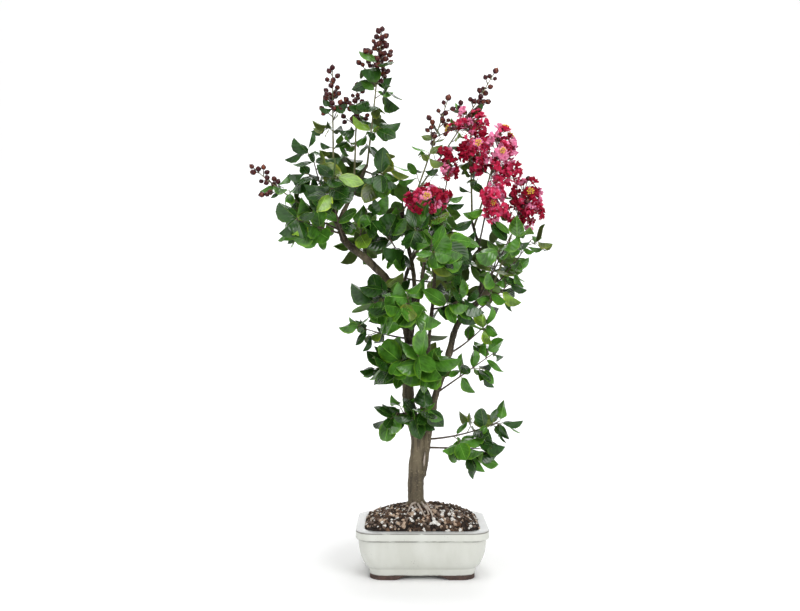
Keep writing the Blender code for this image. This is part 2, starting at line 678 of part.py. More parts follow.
def grow_leaves(mass, stem, rnd):
    """The stem's leaves, and side twigs with a pair of leaves and one at the tip: (twigs, leaves)."""
    flowering = max(BUD_ZONE if mass.buds else 0, BLOSSOM_ZONE if mass.blossoms else 0)
    leafy_to = 1 - flowering * (1 - LEAVES_TO)
    pairs = max(2, round(route_length(stem) * (leafy_to - mass.bare) / LEAF_PAIR_STEP))
    leaves = list(leaf_pairs(None, stem, mass.bare, leafy_to, pairs, mass.leaf, rnd))
    if not flowering:
        foot, heading = station(stem, 1)
        leaves.append(leaf_at(None, foot, heading, rnd.uniform(0, math.tau), mass.leaf, rnd))
    twigs = []
    turn = rnd.uniform(0, math.tau)
    for i in range(mass.twigs):
        share = mass.bare + (leafy_to - mass.bare) * (i + 0.5) / mass.twigs
        foot, heading = station(stem, share)
        side = square_to(heading, turn + i * GOLDEN_ANGLE)
        along = (heading * math.cos(TWIG_TILT) + side * math.sin(TWIG_TILT) + UP * TWIG_LIFT).normalized()
        tip = foot + along * mass.reach * TWIG_SHARE * (1 - TWIG_SHORTEN * share) * rnd.uniform(0.8, 1.2)
        twigs.append((foot, tip))
        leaves += leaf_pairs(i, [foot, tip], *TWIG_PAIR, 1, mass.leaf, rnd)
        leaves.append(leaf_at(i, foot.lerp(tip, TWIG_END_LEAF), along, turn, mass.leaf, rnd))
    return twigs, leaves


def grow_buds(mass, stem, rnd):
    """Buds up the last of the stem, one at its very tip."""
    for i in range(mass.buds):
        foot, heading = station(stem, 1 - BUD_ZONE * i / mass.buds)
        side = square_to(heading, i * GOLDEN_ANGLE)
        away = (heading * BUD_FORWARD + side * min(i, 1)).normalized()
        yield Bud(foot, foot + away * rnd.uniform(*BUD_STALK))


def grow_blossoms(mass, stem, rnd):
    """A panicle: blossoms all round the last of the stem, facing out."""
    for i in range(mass.blossoms):
        foot, heading = station(stem, 1 - BLOSSOM_ZONE * i / mass.blossoms)
        side = square_to(heading, i * GOLDEN_ANGLE)
        away = (heading * BLOSSOM_FORWARD + side * min(i, 1)).normalized()
        yield Blossom(foot, foot + away * rnd.uniform(*BLOSSOM_STALK), away)


class Space:
    """What is already taken, and whose stem each place is nearest to."""

    def __init__(self):
        self.stems = {name: stem_route(mass) for name, mass in MASSES.items()}
        self.taken = {}

    def take(self, name, bm):
        """Marks the shape's place as taken; it leaves the bmesh as it was."""
        self.taken[name] = BVHTree.FromBMesh(bm)

    def nearness(self, name, point):
        reach = MASSES[name].reach
        stem = self.stems[name]
        nearest = (point - station_nearest(stem, point)).length
        return nearest / reach

    def holds(self, name, point):
        """Whether the point is in this mass's own space."""
        own = self.nearness(name, point)
        others = (self.nearness(other, point) for other in MASSES if other != name)
        return own < 1 and all(own < other * NEIGHBOUR_SHARE for other in others)

    def free(self, name, bm):
        """Whether the shape touches nothing but its own mass; it frees the bmesh."""
        tree = BVHTree.FromBMesh(bm)
        bm.free()
        return not any(tree.overlap(other) for owner, other in self.taken.items() if owner != name)


def station_nearest(route, point):
    """The route's point nearest to this one."""
    best = None
    for a, b in zip(route, route[1:]):
        along = b - a
        share = max(0, min(1, (point - a).dot(along) / along.length_squared))
        near = a + along * share
        if best is None or (near - point).length_squared < (best - point).length_squared:
            best = near
    return best


def make_mass(name, stem, space, into, scratch):
    """Fuses to the stem what the mass bears, without what would leave its space or touch something else."""
    mass, rnd = MASSES[name], random.Random(name)
    base = object_from(name + "_stem", stem, scratch, PLANT_FINISHES, TWIG)
    pieces = collection(name + "_pieces", scratch)
    heads, kept = [], {None}

    def add(bm, index):
        if index != TWIG:
            heads.append(BVHTree.FromBMesh(bm))
        object_from("piece", bm, pieces, PLANT_FINISHES, index)

    def crosses_own(bm):
        tree = BVHTree.FromBMesh(bm)
        bm.free()
        return any(tree.overlap(other) for other in heads)

    def add_stalked(head, head_mesh, index):
        stalk = (head.foot, head.place, STALK_RADIUS, STALK_RADIUS)
        swollen = (head.foot, head.place, STALK_RADIUS + CLEARANCE, STALK_RADIUS + CLEARANCE)
        if crosses_own(head_mesh(head)) or not space.free(name, stick_mesh(*swollen)):
            return
        if space.free(name, head_mesh(head, CLEARANCE)):
            add(stick_mesh(*stalk), TWIG)
            add(head_mesh(head), index)

    twigs, leaves = grow_leaves(mass, space.stems[name], rnd)
    for i, (foot, tip) in enumerate(twigs):
        swollen = stick_mesh(foot, tip, TWIG_FOOT + CLEARANCE, TWIG_TIP + CLEARANCE)
        if space.holds(name, tip) and space.free(name, swollen):
            kept.add(i)
            add(stick_mesh(foot, tip, TWIG_FOOT, TWIG_TIP), TWIG)
    for blossom in grow_blossoms(mass, space.stems[name], rnd):
        add_stalked(blossom, blossom_mesh, PETAL)
    for bud in grow_buds(mass, space.stems[name], rnd):
        add_stalked(bud, bud_mesh, BUD)
    for leaf in leaves:
        middle = leaf.root + leaf.along * leaf.length / 2
        beyond_neck = leaf._replace(root=leaf.root + leaf.along * LEAF_NECK)
        if leaf.twig not in kept or crosses_own(leaf_mesh(beyond_neck)):
            continue
        if space.holds(name, middle) and space.free(name, leaf_mesh(leaf, CLEARANCE)):
            add(leaf_mesh(leaf), LEAF)
    made = joined(name, base, pieces, into, PLANT_FINISHES)
    bm = bmesh.new()
    bm.from_mesh(made.data)
    space.take(name, bm)
    bm.free()


def make_masses(plant, scratch):
    space = Space()
    for name in LIMBS:
        bm = bmesh.new()
        bm.from_mesh(bpy.data.objects[name].data)
        space.take(name, bm)
        bm.free()
    stems = {}
    for name, mass in MASSES.items():
        route = space.stems[name]
        tube = tube_mesh(route, tapered(STEM_FOOT, STEM_TIP, len(route)), 3)
        stems[name] = seated(tube, mass.limb, scratch)
        space.take(name, stems[name])
    for name in MASSES:
        make_mass(name, stems[name], space, plant, scratch)


def main():
    clear_scene()
    plant = collection("crape_myrtle_bonsai")
    cutters = collection("cutters")
    scratch = collection("scratch")
    make_pot(plant, cutters)
    make_soil(plant)
    make_limbs(plant, scratch)
    make_masses(plant, scratch)
    bpy.data.collections.remove(scratch)


main()
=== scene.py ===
"""A flowering crape myrtle bonsai in a glazed pot, dressed over its solids.

Metres, +Z up, seen from -Y. The plant grows by the same seeded rule as its solids, with finer twigs and
more leaves. Each finished piece has its place in its mesh, and its object sits at the origin.
"""

import math
import random
from collections import namedtuple

import bmesh
import bpy
from mathutils import Matrix, Vector
from mathutils.bvhtree import BVHTree


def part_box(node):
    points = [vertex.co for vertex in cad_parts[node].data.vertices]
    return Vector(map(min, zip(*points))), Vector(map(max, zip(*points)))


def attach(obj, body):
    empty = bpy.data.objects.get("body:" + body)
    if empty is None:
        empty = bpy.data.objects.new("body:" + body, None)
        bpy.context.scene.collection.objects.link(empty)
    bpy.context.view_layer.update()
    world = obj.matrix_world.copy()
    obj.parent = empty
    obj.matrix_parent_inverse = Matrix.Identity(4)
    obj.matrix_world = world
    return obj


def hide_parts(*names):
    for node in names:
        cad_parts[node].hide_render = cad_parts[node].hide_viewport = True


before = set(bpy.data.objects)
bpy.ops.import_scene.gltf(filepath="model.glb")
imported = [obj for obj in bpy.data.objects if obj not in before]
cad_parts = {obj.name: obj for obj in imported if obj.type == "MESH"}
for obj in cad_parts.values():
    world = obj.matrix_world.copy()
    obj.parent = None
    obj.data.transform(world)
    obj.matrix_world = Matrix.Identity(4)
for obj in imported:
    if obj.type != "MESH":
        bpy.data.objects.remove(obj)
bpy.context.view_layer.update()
POT_LOW, POT_HIGH = (Vector(corner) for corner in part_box("pot"))
SOIL_TOP = Vector(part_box("soil")[1]).z
POT_CENTRE = Vector(((POT_LOW.x + POT_HIGH.x) / 2, (POT_LOW.y + POT_HIGH.y) / 2, 0))

bl_info = {
    "name": "Crape myrtle bonsai",
    "version": (1, 0, 0),
    "blender": (4, 5, 0),
    "location": "3D View > Sidebar > Bonsai",
    "description": "Dresses the solids of a crape myrtle bonsai with bark, leaves, blossom, glaze and soil",
    "category": "Add Mesh",
}

UP = Vector((0, 0, 1))
GOLDEN_ANGLE = math.radians(137.5)

# Each limb: its route and its radius at the foot and at the tip, as in the solids
Limb = namedtuple("Limb", "route foot tip")
LIMBS = {
    "trunk": Limb(
        (
            (0.031, 0.000, 0.100),
            (0.030, 0.001, 0.155),
            (0.034, 0.003, 0.206),
            (0.023, 0.005, 0.246),
            (0.018, 0.005, 0.278),
            (0.018, 0.003, 0.318),
            (0.020, 0.000, 0.358),
            (0.011, -0.004, 0.404),
        ),
        0.0132,
        0.0066,
    ),
    "left_bough": Limb(
        (
            (0.011, -0.004, 0.404),
            (-0.011, -0.006, 0.454),
            (-0.043, -0.002, 0.490),
            (-0.080, 0.004, 0.521),
            (-0.089, 0.006, 0.540),
            (-0.099, 0.006, 0.563),
            (-0.101, 0.005, 0.580),
        ),
        0.0066,
        0.0050,
    ),
    "leader_bough": Limb(
        ((-0.094, 0.005, 0.551), (-0.079, -0.006, 0.581), (-0.062, -0.010, 0.613), (-0.047, -0.008, 0.644)),
        0.0040,
        0.0026,
    ),
    "right_stem": Limb(
        (
            (0.034, 0.001, 0.143),
            (0.043, 0.003, 0.161),
            (0.049, 0.004, 0.206),
            (0.056, 0.004, 0.246),
            (0.062, 0.002, 0.280),
            (0.070, 0.000, 0.302),
            (0.083, -0.004, 0.345),
            (0.096, -0.003, 0.390),
            (0.125, 0.004, 0.422),
            (0.151, 0.010, 0.447),
        ),
        0.0060,
        0.0046,
    ),
    "right_rise": Limb(
        ((0.130, 0.005, 0.427), (0.138, 0.008, 0.478), (0.130, 0.006, 0.519), (0.120, 0.002, 0.554)),
        0.0034,
        0.0022,
    ),
    "middle_stem": Limb(
        (
            (0.032, 0.002, 0.230),
            (0.043, -0.006, 0.271),
            (0.046, -0.010, 0.311),
            (0.052, -0.016, 0.382),
            (0.059, -0.014, 0.453),
            (0.056, -0.010, 0.496),
        ),
        0.0038,
        0.0026,
    ),
    "centre_bough": Limb(
        (
            (0.019, 0.000, 0.358),
            (0.027, 0.006, 0.414),
            (0.027, 0.010, 0.470),
            (0.016, 0.008, 0.526),
            (0.007, 0.004, 0.570),
        ),
        0.0042,
        0.0028,
    ),
    "back_bough": Limb(
        ((0.015, -0.002, 0.385), (0.008, 0.030, 0.430), (0.018, 0.060, 0.480), (0.039, 0.075, 0.522)),
        0.0038,
        0.0026,
    ),
    "front_bough": Limb(
        ((0.019, 0.000, 0.350), (0.027, -0.030, 0.398), (0.036, -0.055, 0.445), (0.042, -0.066, 0.487)),
        0.0036,
        0.0024,
    ),
}

# Each mass, much as in the solids: the limb its stem grows from and how far along, the stem's tip, how far it
# sags on the way, how far leaves may stand from it, their length, its side twigs, how much of its foot is
# bare, its buds, and whether it blossoms. The last number is the share of its leaves that are young.
Mass = namedtuple(
    "Mass",
    "limb at tip sag reach leaf twigs bare buds blossoms young",
    defaults=(0.12, 0.046, 0.031, 3, 0.2, 0, False, 0.03),
)
MASSES = {
    "far_left_spray": Mass("left_bough", 0.87, (-0.226, 0.000, 0.638), 0.10, 0.036, 0.026, 3, 0.15, 5),
    "left_low_front": Mass("left_bough", 0.78, (-0.158, -0.045, 0.554), 0.0, 0.046, 0.034, 3, 0.3),
    "left_low_back": Mass("left_bough", 0.81, (-0.155, 0.062, 0.580), 0.05, 0.046, 0.031, 3, 0.3),
    "left_upper": Mass("left_bough", 0.94, (-0.134, -0.018, 0.662), 0.30, 0.045, 0.033, 4, 0.1),
    "left_bud_shoot": Mass("left_bough", 1.0, (-0.104, 0.018, 0.798), -0.02, 0.030, 0.024, 2, 0.35, 9),
    "third_shoot": Mass("leader_bough", 0.55, (-0.064, 0.016, 0.770), 0.06, 0.030, 0.024, 2, 0.35, 8),
    "top_leader": Mass("leader_bough", 1.0, (-0.024, -0.006, 0.852), 0.04, 0.042, 0.034, 6, 0.05, 15),
    "leader_side": Mass("leader_bough", 0.90, (-0.020, -0.034, 0.624), 0.10, 0.042, 0.036, 2, 0.25),
    "left_heart": Mass("left_bough", 0.72, (-0.102, -0.064, 0.615), 0.25, 0.046, 0.034, 3, 0.25),
    "left_back": Mass("leader_bough", 0.30, (-0.092, 0.070, 0.655), 0.10, 0.046, 0.032, 3, 0.25),
    "left_inner": Mass("left_bough", 0.62, (-0.048, -0.030, 0.564), 0.05, 0.044, 0.033, 3, 0.25),
    "back_left": Mass("left_bough", 0.50, (-0.059, 0.092, 0.549), 0.10, 0.048, 0.032, 3, 0.25),
    "top_right_shoot": Mass("centre_bough", 1.0, (0.155, 0.014, 0.792), 0.05, 0.034, 0.026, 3, 0.12, 8),
    "middle_shoot": Mass("centre_bough", 0.90, (0.079, -0.012, 0.742), 0.05, 0.036, 0.027, 3, 0.10, 7),
    "centre_blossom": Mass("centre_bough", 0.80, (0.066, -0.038, 0.592), 0.15, 0.034, 0.026, 1, 0.3, 2, True),
    "centre_top": Mass("centre_bough", 0.66, (0.042, -0.058, 0.549), 0.10, 0.046, 0.034, 3, 0.25),
    "centre_top_back": Mass("centre_bough", 0.72, (0.008, 0.060, 0.603), 0.10, 0.048, 0.032, 3, 0.25),
    "centre_left": Mass("centre_bough", 0.55, (-0.020, -0.028, 0.545), 0.15, 0.044, 0.033, 3, 0.25),
    "slender_shoot": Mass("middle_stem", 1.0, (0.087, -0.012, 0.663), 0.05, 0.032, 0.026, 2, 0.25, 0, True),
    "high_blossom": Mass("right_rise", 1.0, (0.117, 0.000, 0.716), 0.02, 0.036, 0.026, 1, 0.2, 2, True),
    "main_blossom": Mass("right_rise", 0.93, (0.163, -0.022, 0.690), 0.10, 0.036, 0.026, 1, 0.3, 2, True),
    "column_blossom": Mass("right_rise", 0.70, (0.150, -0.042, 0.644), 0.14, 0.030, 0.026, 1, 0.3, 0, True),
    "right_blossom": Mass("right_stem", 1.0, (0.209, 0.014, 0.618), 0.12, 0.036, 0.026, 1, 0.35, 3, True),
    "centre_right": Mass("middle_stem", 0.95, (0.090, -0.042, 0.529), 0.15, 0.046, 0.032, 3, 0.2),
    "right_tip": Mass("right_stem", 0.94, (0.214, 0.000, 0.526), 0.10, 0.042, 0.026, 4, 0.2),
    "right_upper": Mass("right_stem", 0.86, (0.176, -0.042, 0.529), 0.10, 0.046, 0.031, 3, 0.25),
    "right_low": Mass("right_stem", 0.79, (0.176, -0.026, 0.455), 0.10, 0.042, 0.030, 3, 0.3),
    "right_back": Mass("right_stem", 0.89, (0.172, 0.072, 0.514), 0.10, 0.048, 0.031, 3, 0.25),
    "right_mid": Mass("right_stem", 0.42, (0.152, -0.012, 0.345), 0.0, 0.040, 0.028, 2, 0.3),
    "right_inner": Mass("right_stem", 0.62, (0.140, -0.026, 0.392), 0.10, 0.040, 0.028, 1, 0.3),
    "column_low_left": Mass("trunk", 0.50, (0.000, -0.022, 0.252), 0.10, 0.036, 0.029, 1, 0.3),
    "column_low": Mass("trunk", 0.46, (0.036, -0.036, 0.256), 0.10, 0.036, 0.031, 2, 0.3),
    "column_front": Mass("middle_stem", 0.30, (0.046, -0.058, 0.341), 0.10, 0.046, 0.042, 3, 0.3),
    "column_left": Mass("trunk", 0.72, (-0.001, -0.036, 0.333), 0.10, 0.044, 0.041, 2, 0.3),
    "left_small": Mass("trunk", 0.88, (-0.062, -0.006, 0.388), 0.05, 0.036, 0.024, 2, 0.25),
    "left_sprout": Mass("trunk", 0.76, (-0.034, 0.004, 0.321), 0.05, 0.030, 0.022, 1, 0.3),
    "centre_low_left": Mass("left_bough", 0.12, (-0.022, -0.040, 0.430), 0.10, 0.044, 0.038, 3, 0.3),
    "low_branch": Mass("right_stem", 0.20, (0.164, -0.006, 0.238), 0.10, 0.040, 0.028, 3, 0.25),
    "low_branch_front": Mass("right_stem", 0.16, (0.130, -0.026, 0.197), 0.0, 0.042, 0.034, 3, 0.25),
    "back_low": Mass("trunk", 0.70, (0.040, 0.064, 0.345), 0.10, 0.046, 0.033, 3, 0.3),
    "back_mid": Mass("back_bough", 0.45, (-0.014, 0.094, 0.447), 0.10, 0.048, 0.033, 3, 0.25),
    "back_high": Mass("back_bough", 1.0, (0.066, 0.104, 0.582), 0.05, 0.048, 0.032, 4, 0.1),
    "back_right": Mass("back_bough", 0.60, (0.103, 0.088, 0.464), 0.10, 0.048, 0.032, 3, 0.3),
    "front_mid": Mass("front_bough", 0.60, (0.014, -0.090, 0.425), 0.15, 0.046, 0.039, 3, 0.25),
    "front_high": Mass("front_bough", 1.0, (0.062, -0.106, 0.510), 0.08, 0.046, 0.033, 3, 0.1),
    "front_right": Mass("middle_stem", 0.70, (0.100, -0.066, 0.432), 0.10, 0.046, 0.034, 3, 0.25),
}


# The sizes and colours that a user would change


def length(name, description, default):
    return bpy.props.FloatProperty(
        name=name, description=description, default=default, unit="LENGTH", precision=4
    )


def factor(name, description, default):
    return bpy.props.FloatProperty(name=name, description=description, default=default, min=0, soft_max=4)


def power(name, description, default):
    return bpy.props.FloatProperty(name=name, description=description, default=default, unit="POWER")


def count(name, description, default):
    return bpy.props.IntProperty(name=name, description=description, default=default, min=0)


def colour(name, description, default):
    return bpy.props.FloatVectorProperty(
        name=name, description=description, default=default, subtype="COLOR", size=3, min=0, max=1
    )


class PotSettings(bpy.types.PropertyGroup):
    """The glazed pot and its feet."""

    width: length("Width", "Across the lip, left to right", POT_HIGH.x - POT_LOW.x)
    depth: length("Depth", "Across the lip, front to back", POT_HIGH.y - POT_LOW.y)
    height: length("Height", "From the ground to the top of the lip", POT_HIGH.z)
    corner: length("Corner", "Radius of each corner of the lip", 0.026)
    lip_height: length("Lip height", "Height of the lip's outer face", 0.013)
    lip_width: length("Lip width", "Width of the lip's flat top", 0.0135)
    overhang: length("Overhang", "How far the lip stands out from the body", 0.0040)
    belly_inset: length("Belly inset", "How far the belly's foot is drawn in from the lip", 0.0190)
    base_inset: length("Base inset", "How far the base is drawn in from the lip", 0.0210)
    plinth: length("Plinth", "Height of the upright band between belly and feet", 0.0105)
    wall: length("Wall", "Thickness of the wall", 0.009)
    foot_height: length("Foot height", "Height of the four feet", 0.0065)
    edge: length("Edge", "Radius of the fired edges", 0.0013)
    glaze: colour("Glaze", "Main colour of the glaze", (0.68, 0.69, 0.64))
    # Painted shade: the lip's flat top faces up and takes more light than the body, so its glaze is painted
    # darker
    lip_glaze_painted_shade: colour("Lip glaze", "Glaze on the lip's flat top", (0.58, 0.59, 0.585))
    pooled_glaze: colour("Pooled glaze", "Where the glaze has run thick", (0.50, 0.51, 0.44))
    # Worn glaze where the clay shows through; in the line under the lip it is partly painted shadow under the
    # overhang
    worn_glaze_and_shadow: colour("Worn glaze", "Lines where the clay shows through", (0.075, 0.062, 0.052))
    clay: colour("Clay", "The unglazed feet", (0.062, 0.038, 0.031))


class SoilSettings(bpy.types.PropertyGroup):
    """The heaped soil with its chips and grit."""

    top: length("Top", "Height of the heap at the trunk, without its chips", SOIL_TOP - 0.003)
    edge: length("Edge", "Height of the soil at the pot's wall, without its chips", 0.0740)
    chips: count("Chips", "Bark chips on the soil", 1100)
    chip_size: length("Chip size", "Length of a common chip", 0.0058)
    pebbles: count("Pebbles", "Pieces of grit among the chips", 1150)
    pebble_size: length("Pebble size", "Diameter of a common piece of grit", 0.0046)
    roots: count("Roots", "Thin roots over the soil, besides those in front of the trunk", 6)
    earth: colour("Earth", "Under the chips", (0.016, 0.010, 0.007))
    chip: colour("Chip", "Main colour of the chips", (0.058, 0.032, 0.018))
    white_grit: colour("White grit", "Palest grit", (0.87, 0.81, 0.74))
    tan_grit: colour("Tan grit", "Warm grit", (0.50, 0.37, 0.27))
    brown_grit: colour("Brown grit", "Dull grit", (0.17, 0.12, 0.09))


class BarkSettings(bpy.types.PropertyGroup):
    """The trunk and the boughs."""

    grain: length("Grain", "Size of the faces of the bark", 0.0011)
    relief: length("Relief", "Height of the bark's lumps", 0.0019)
    low_bark: colour("Low bark", "Smooth bark low on the trunk", (0.113, 0.092, 0.057))
    high_bark: colour("High bark", "Rougher bark on the boughs", (0.030, 0.021, 0.011))
    streak: colour("Streak", "Dark streaks in the bark", (0.036, 0.027, 0.018))
    bare_root: colour("Bare root", "Thin roots that lie over the soil, and the scar", (0.45, 0.38, 0.32))


class FoliageSettings(bpy.types.PropertyGroup):
    """Shoots and leaves."""

    pair_step: length("Pair step", "Distance between pairs of leaves along a stem", 0.0290)
    more_twigs: count("More twigs", "Side twigs of each mass beyond its own number", 1)
    twig_pairs: count("Pairs on a twig", "Pairs of leaves on a side twig", 2)
    leaf_scale: factor("Leaf scale", "Size of a leaf against its mass's own", 1.14)
    leaf_stalk: length("Leaf stalk", "Length of a leaf's stalk", 0.0030)
    deep_green: colour("Deep green", "Old leaves in the shade", (0.017, 0.062, 0.007))
    middle_green: colour("Middle green", "Most leaves", (0.060, 0.184, 0.017))
    olive_green: colour("Olive green", "Dull leaves", (0.100, 0.155, 0.024))
    lime_green: colour("Lime green", "Young leaves", (0.160, 0.300, 0.026))
    old_wood: colour("Old wood", "Twigs of earlier years", (0.080, 0.055, 0.034))
    new_wood: colour("New wood", "Twigs of this year", (0.170, 0.165, 0.065))


class FlowerSettings(bpy.types.PropertyGroup):
    """Buds and blossom."""

    bud_radius: length("Bud radius", "Radius of a bud", 0.0047)
    bud_factor: factor("Buds", "Buds for each bud that a mass is given", 4.2)
    blossom_radius: length("Blossom radius", "From the middle of a blossom to a petal's edge", 0.0109)
    blossom_factor: factor("Blossoms", "How full the clusters of blossom are", 1.0)
    bud: colour("Bud", "Skin of a bud", (0.046, 0.004, 0.007))
    ripe_bud: colour("Ripe bud", "Patches on a bud", (0.230, 0.056, 0.024))
    crimson: colour("Crimson", "Most petals", (0.660, 0.021, 0.084))
    dark_crimson: colour("Dark crimson", "Petals in the shade", (0.300, 0.004, 0.022))
    pink: colour("Pink", "The palest petals", (0.880, 0.220, 0.420))
    pale_pink: colour("Pale pink", "Edges of the palest petals", (0.940, 0.580, 0.700))
    stamen: colour("Stamen", "Heads of the stamens", (0.850, 0.560, 0.060))


class StageSettings(bpy.types.PropertyGroup):
    """The camera, the floor and the light."""

    distance: length("Distance", "From the plant to the camera", 1.473)
    eye_height: length("Eye height", "Of the camera above the ground", 0.421)
    focal_length: bpy.props.FloatProperty(name="Focal length", description="In millimetres", default=41.6)
    floor: colour("Floor", "Colour of the floor and the backdrop", (0.97, 0.97, 0.97))
    key_power: power("Key light", "Power of the main light, in front on the right", 30)
    fill_power: power("Fill light", "Power of the light in front on the left", 11)
    top_power: power("Top light", "Power of the wide light overhead", 45)
    rim_power: power("Rim light", "Power of the light behind the plant", 6)
    backdrop_power: power("Backdrop light", "Power of the light on the backdrop", 54)
    sky: factor("Sky", "Strength of the even light from all round", 0.30)


# Working in edit mode


def only(obj):
    """Leaves nothing selected but this object, and makes it the active one."""
    bpy.ops.object.select_all(action="DESELECT")
    obj.select_set(True)
    bpy.context.view_layer.objects.active = obj


def started(name):
    """Names the primitive that was just added, and opens it in edit mode with nothing selected."""
    obj = bpy.context.object
    obj.name = obj.data.name = name
    only(obj)
    bpy.ops.object.mode_set(mode="EDIT")
    bpy.ops.mesh.select_all(action="DESELECT")
    return obj


def pick(obj, kind, test):
    """Selects the faces, edges or points that pass the test, and no others."""
    bpy.ops.mesh.select_mode(type=kind)
    bpy.ops.mesh.select_all(action="DESELECT")
    bm = bmesh.from_edit_mesh(obj.data)
    for item in {"VERT": bm.verts, "EDGE": bm.edges, "FACE": bm.faces}[kind]:
        if test(item):
            item.select_set(True)
    bm.select_flush_mode()
    bmesh.update_edit_mesh(obj.data)


def leave_edit_mode():
    bpy.ops.object.mode_set(mode="OBJECT")


def apply(obj, kind, **settings):
    """Adds a modifier with these settings and applies it."""
    only(obj)
    modifier = obj.modifiers.new(kind.title(), kind)
    for key, value in settings.items():
        setattr(modifier, key, value)
    bpy.ops.object.modifier_apply(modifier=modifier.name)


def lumps(name, size):
    """A cloudy texture for the Displace modifier, its lumps about this large."""
    made = bpy.data.textures.new(name, "CLOUDS")
    made.noise_scale = size
    made.noise_depth = 2
    return made


def smooth(obj, angle=None):
    """Shades it smooth, all over or up to this angle between faces."""
    only(obj)
    if angle is None:
        bpy.ops.object.shade_smooth()
    else:
        bpy.ops.object.shade_smooth_by_angle(angle=angle)


def finished(obj, name, slot, *nodes):
    """Makes the object a piece of the plant, in place of these nodes; the slot is not used."""
    only(obj)
    bpy.ops.object.transform_apply(location=True, rotation=True, scale=True)
    obj.name = obj.data.name = name
    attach(obj, "root")
    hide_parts(*nodes)
    return obj


def joined(objects):
    """One object made of them all."""
    only(objects[0])
    for obj in objects:
        obj.select_set(True)
    bpy.ops.object.join()
    return bpy.context.object


def outward(obj):
    """Merges doubles and turns every face outwards."""
    only(obj)
    bpy.ops.object.mode_set(mode="EDIT")
    bpy.ops.mesh.select_all(action="SELECT")
    bpy.ops.mesh.remove_doubles(threshold=1e-6)
    bpy.ops.mesh.normals_make_consistent(inside=False)
    leave_edit_mode()


# Finishes


def node(tree, kind, inputs=(), **settings):
    """A shader node, with its inputs set to values or joined to other nodes' outputs."""
    made = tree.nodes.new("ShaderNode" + kind)
    for key, value in settings.items():
        setattr(made, key, value)
    for key, value in dict(inputs).items():
        if isinstance(value, bpy.types.NodeSocket):
            tree.links.new(value, made.inputs[key])
        else:
            made.inputs[key].default_value = value
    return made


def finish(name, base, roughness, sockets=()):
    """A new material and its shader, with plain numbers on the shader's own sockets."""
    material = bpy.data.materials.new(name)
    material.use_nodes = True
    shader = material.node_tree.nodes["Principled BSDF"]
    shader.inputs["Base Color"].default_value = (*base, 1)
    shader.inputs["Roughness"].default_value = roughness
    for key, value in dict(sockets).items():
        shader.inputs[key].default_value = value
    return material, material.node_tree, shader


def coordinates(tree, stretch=None):
    """Object coordinates, stretched by a scale for each axis where it is given."""
    where = node(tree, "TexCoord").outputs["Object"]
    if stretch is None:
        return where
    return node(tree, "Mapping", {"Vector": where, "Scale": stretch}).outputs["Vector"]


def noise(tree, scale, detail, stretch=None):
    inputs = {"Vector": coordinates(tree, stretch), "Scale": scale, "Detail": detail}
    return node(tree, "TexNoise", inputs).outputs["Fac"]


def ramp(tree, value, limits, most=1):
    """0 up to the first limit, and rising from there to the most at the second."""
    made = node(tree, "ValToRGB", {"Fac": value})
    for element, limit, grey in zip(made.color_ramp.elements, limits, (0, most)):
        element.position = limit
        element.color = (grey, grey, grey, 1)
    return made.outputs["Color"]


def patches(tree, scale, detail, limits, most=1, stretch=None):
    """Patches of noise: 0 below the first limit of the noise, and the most above the second."""
    return ramp(tree, noise(tree, scale, detail, stretch), limits, most)


def mixed(tree, share, low, high):
    """From one colour to another; either may come from another node."""
    made = node(tree, "Mix", {"Factor": share}, data_type="RGBA")
    for index, value in ((6, low), (7, high)):
        if isinstance(value, bpy.types.NodeSocket):
            tree.links.new(value, made.inputs[index])
        else:
            made.inputs[index].default_value = (*value, 1)
    return made.outputs[2]


def worked_out(tree, operation, *values):
    return node(tree, "Math", enumerate(values), operation=operation).outputs["Value"]


def product(tree, first, second):
    return worked_out(tree, "MULTIPLY", first, second)


def distance_from(tree, value, middle):
    return worked_out(tree, "ABSOLUTE", worked_out(tree, "SUBTRACT", value, middle))


def from_0_to_1(tree, value, low, high):
    """0 where the value is at low and 1 where it is at high, whichever of them is the greater."""
    limits = {"Value": value, "From Min": low, "From Max": high}
    return node(tree, "MapRange", limits).outputs["Result"]


def heights(tree):
    return node(tree, "SeparateXYZ", {"Vector": coordinates(tree)}).outputs["Z"]


def colour_from(tree, shader, socket):
    tree.links.new(socket, shader.inputs["Base Color"])


def bump_from(tree, shader, relief, distance, strength):
    made = node(tree, "Bump", {"Height": relief, "Distance": distance, "Strength": strength})
    tree.links.new(made.outputs["Normal"], shader.inputs["Normal"])


def shade(tone, brightness):
    """The colour made this many times as bright."""
    return [min(1, c * brightness) for c in tone]


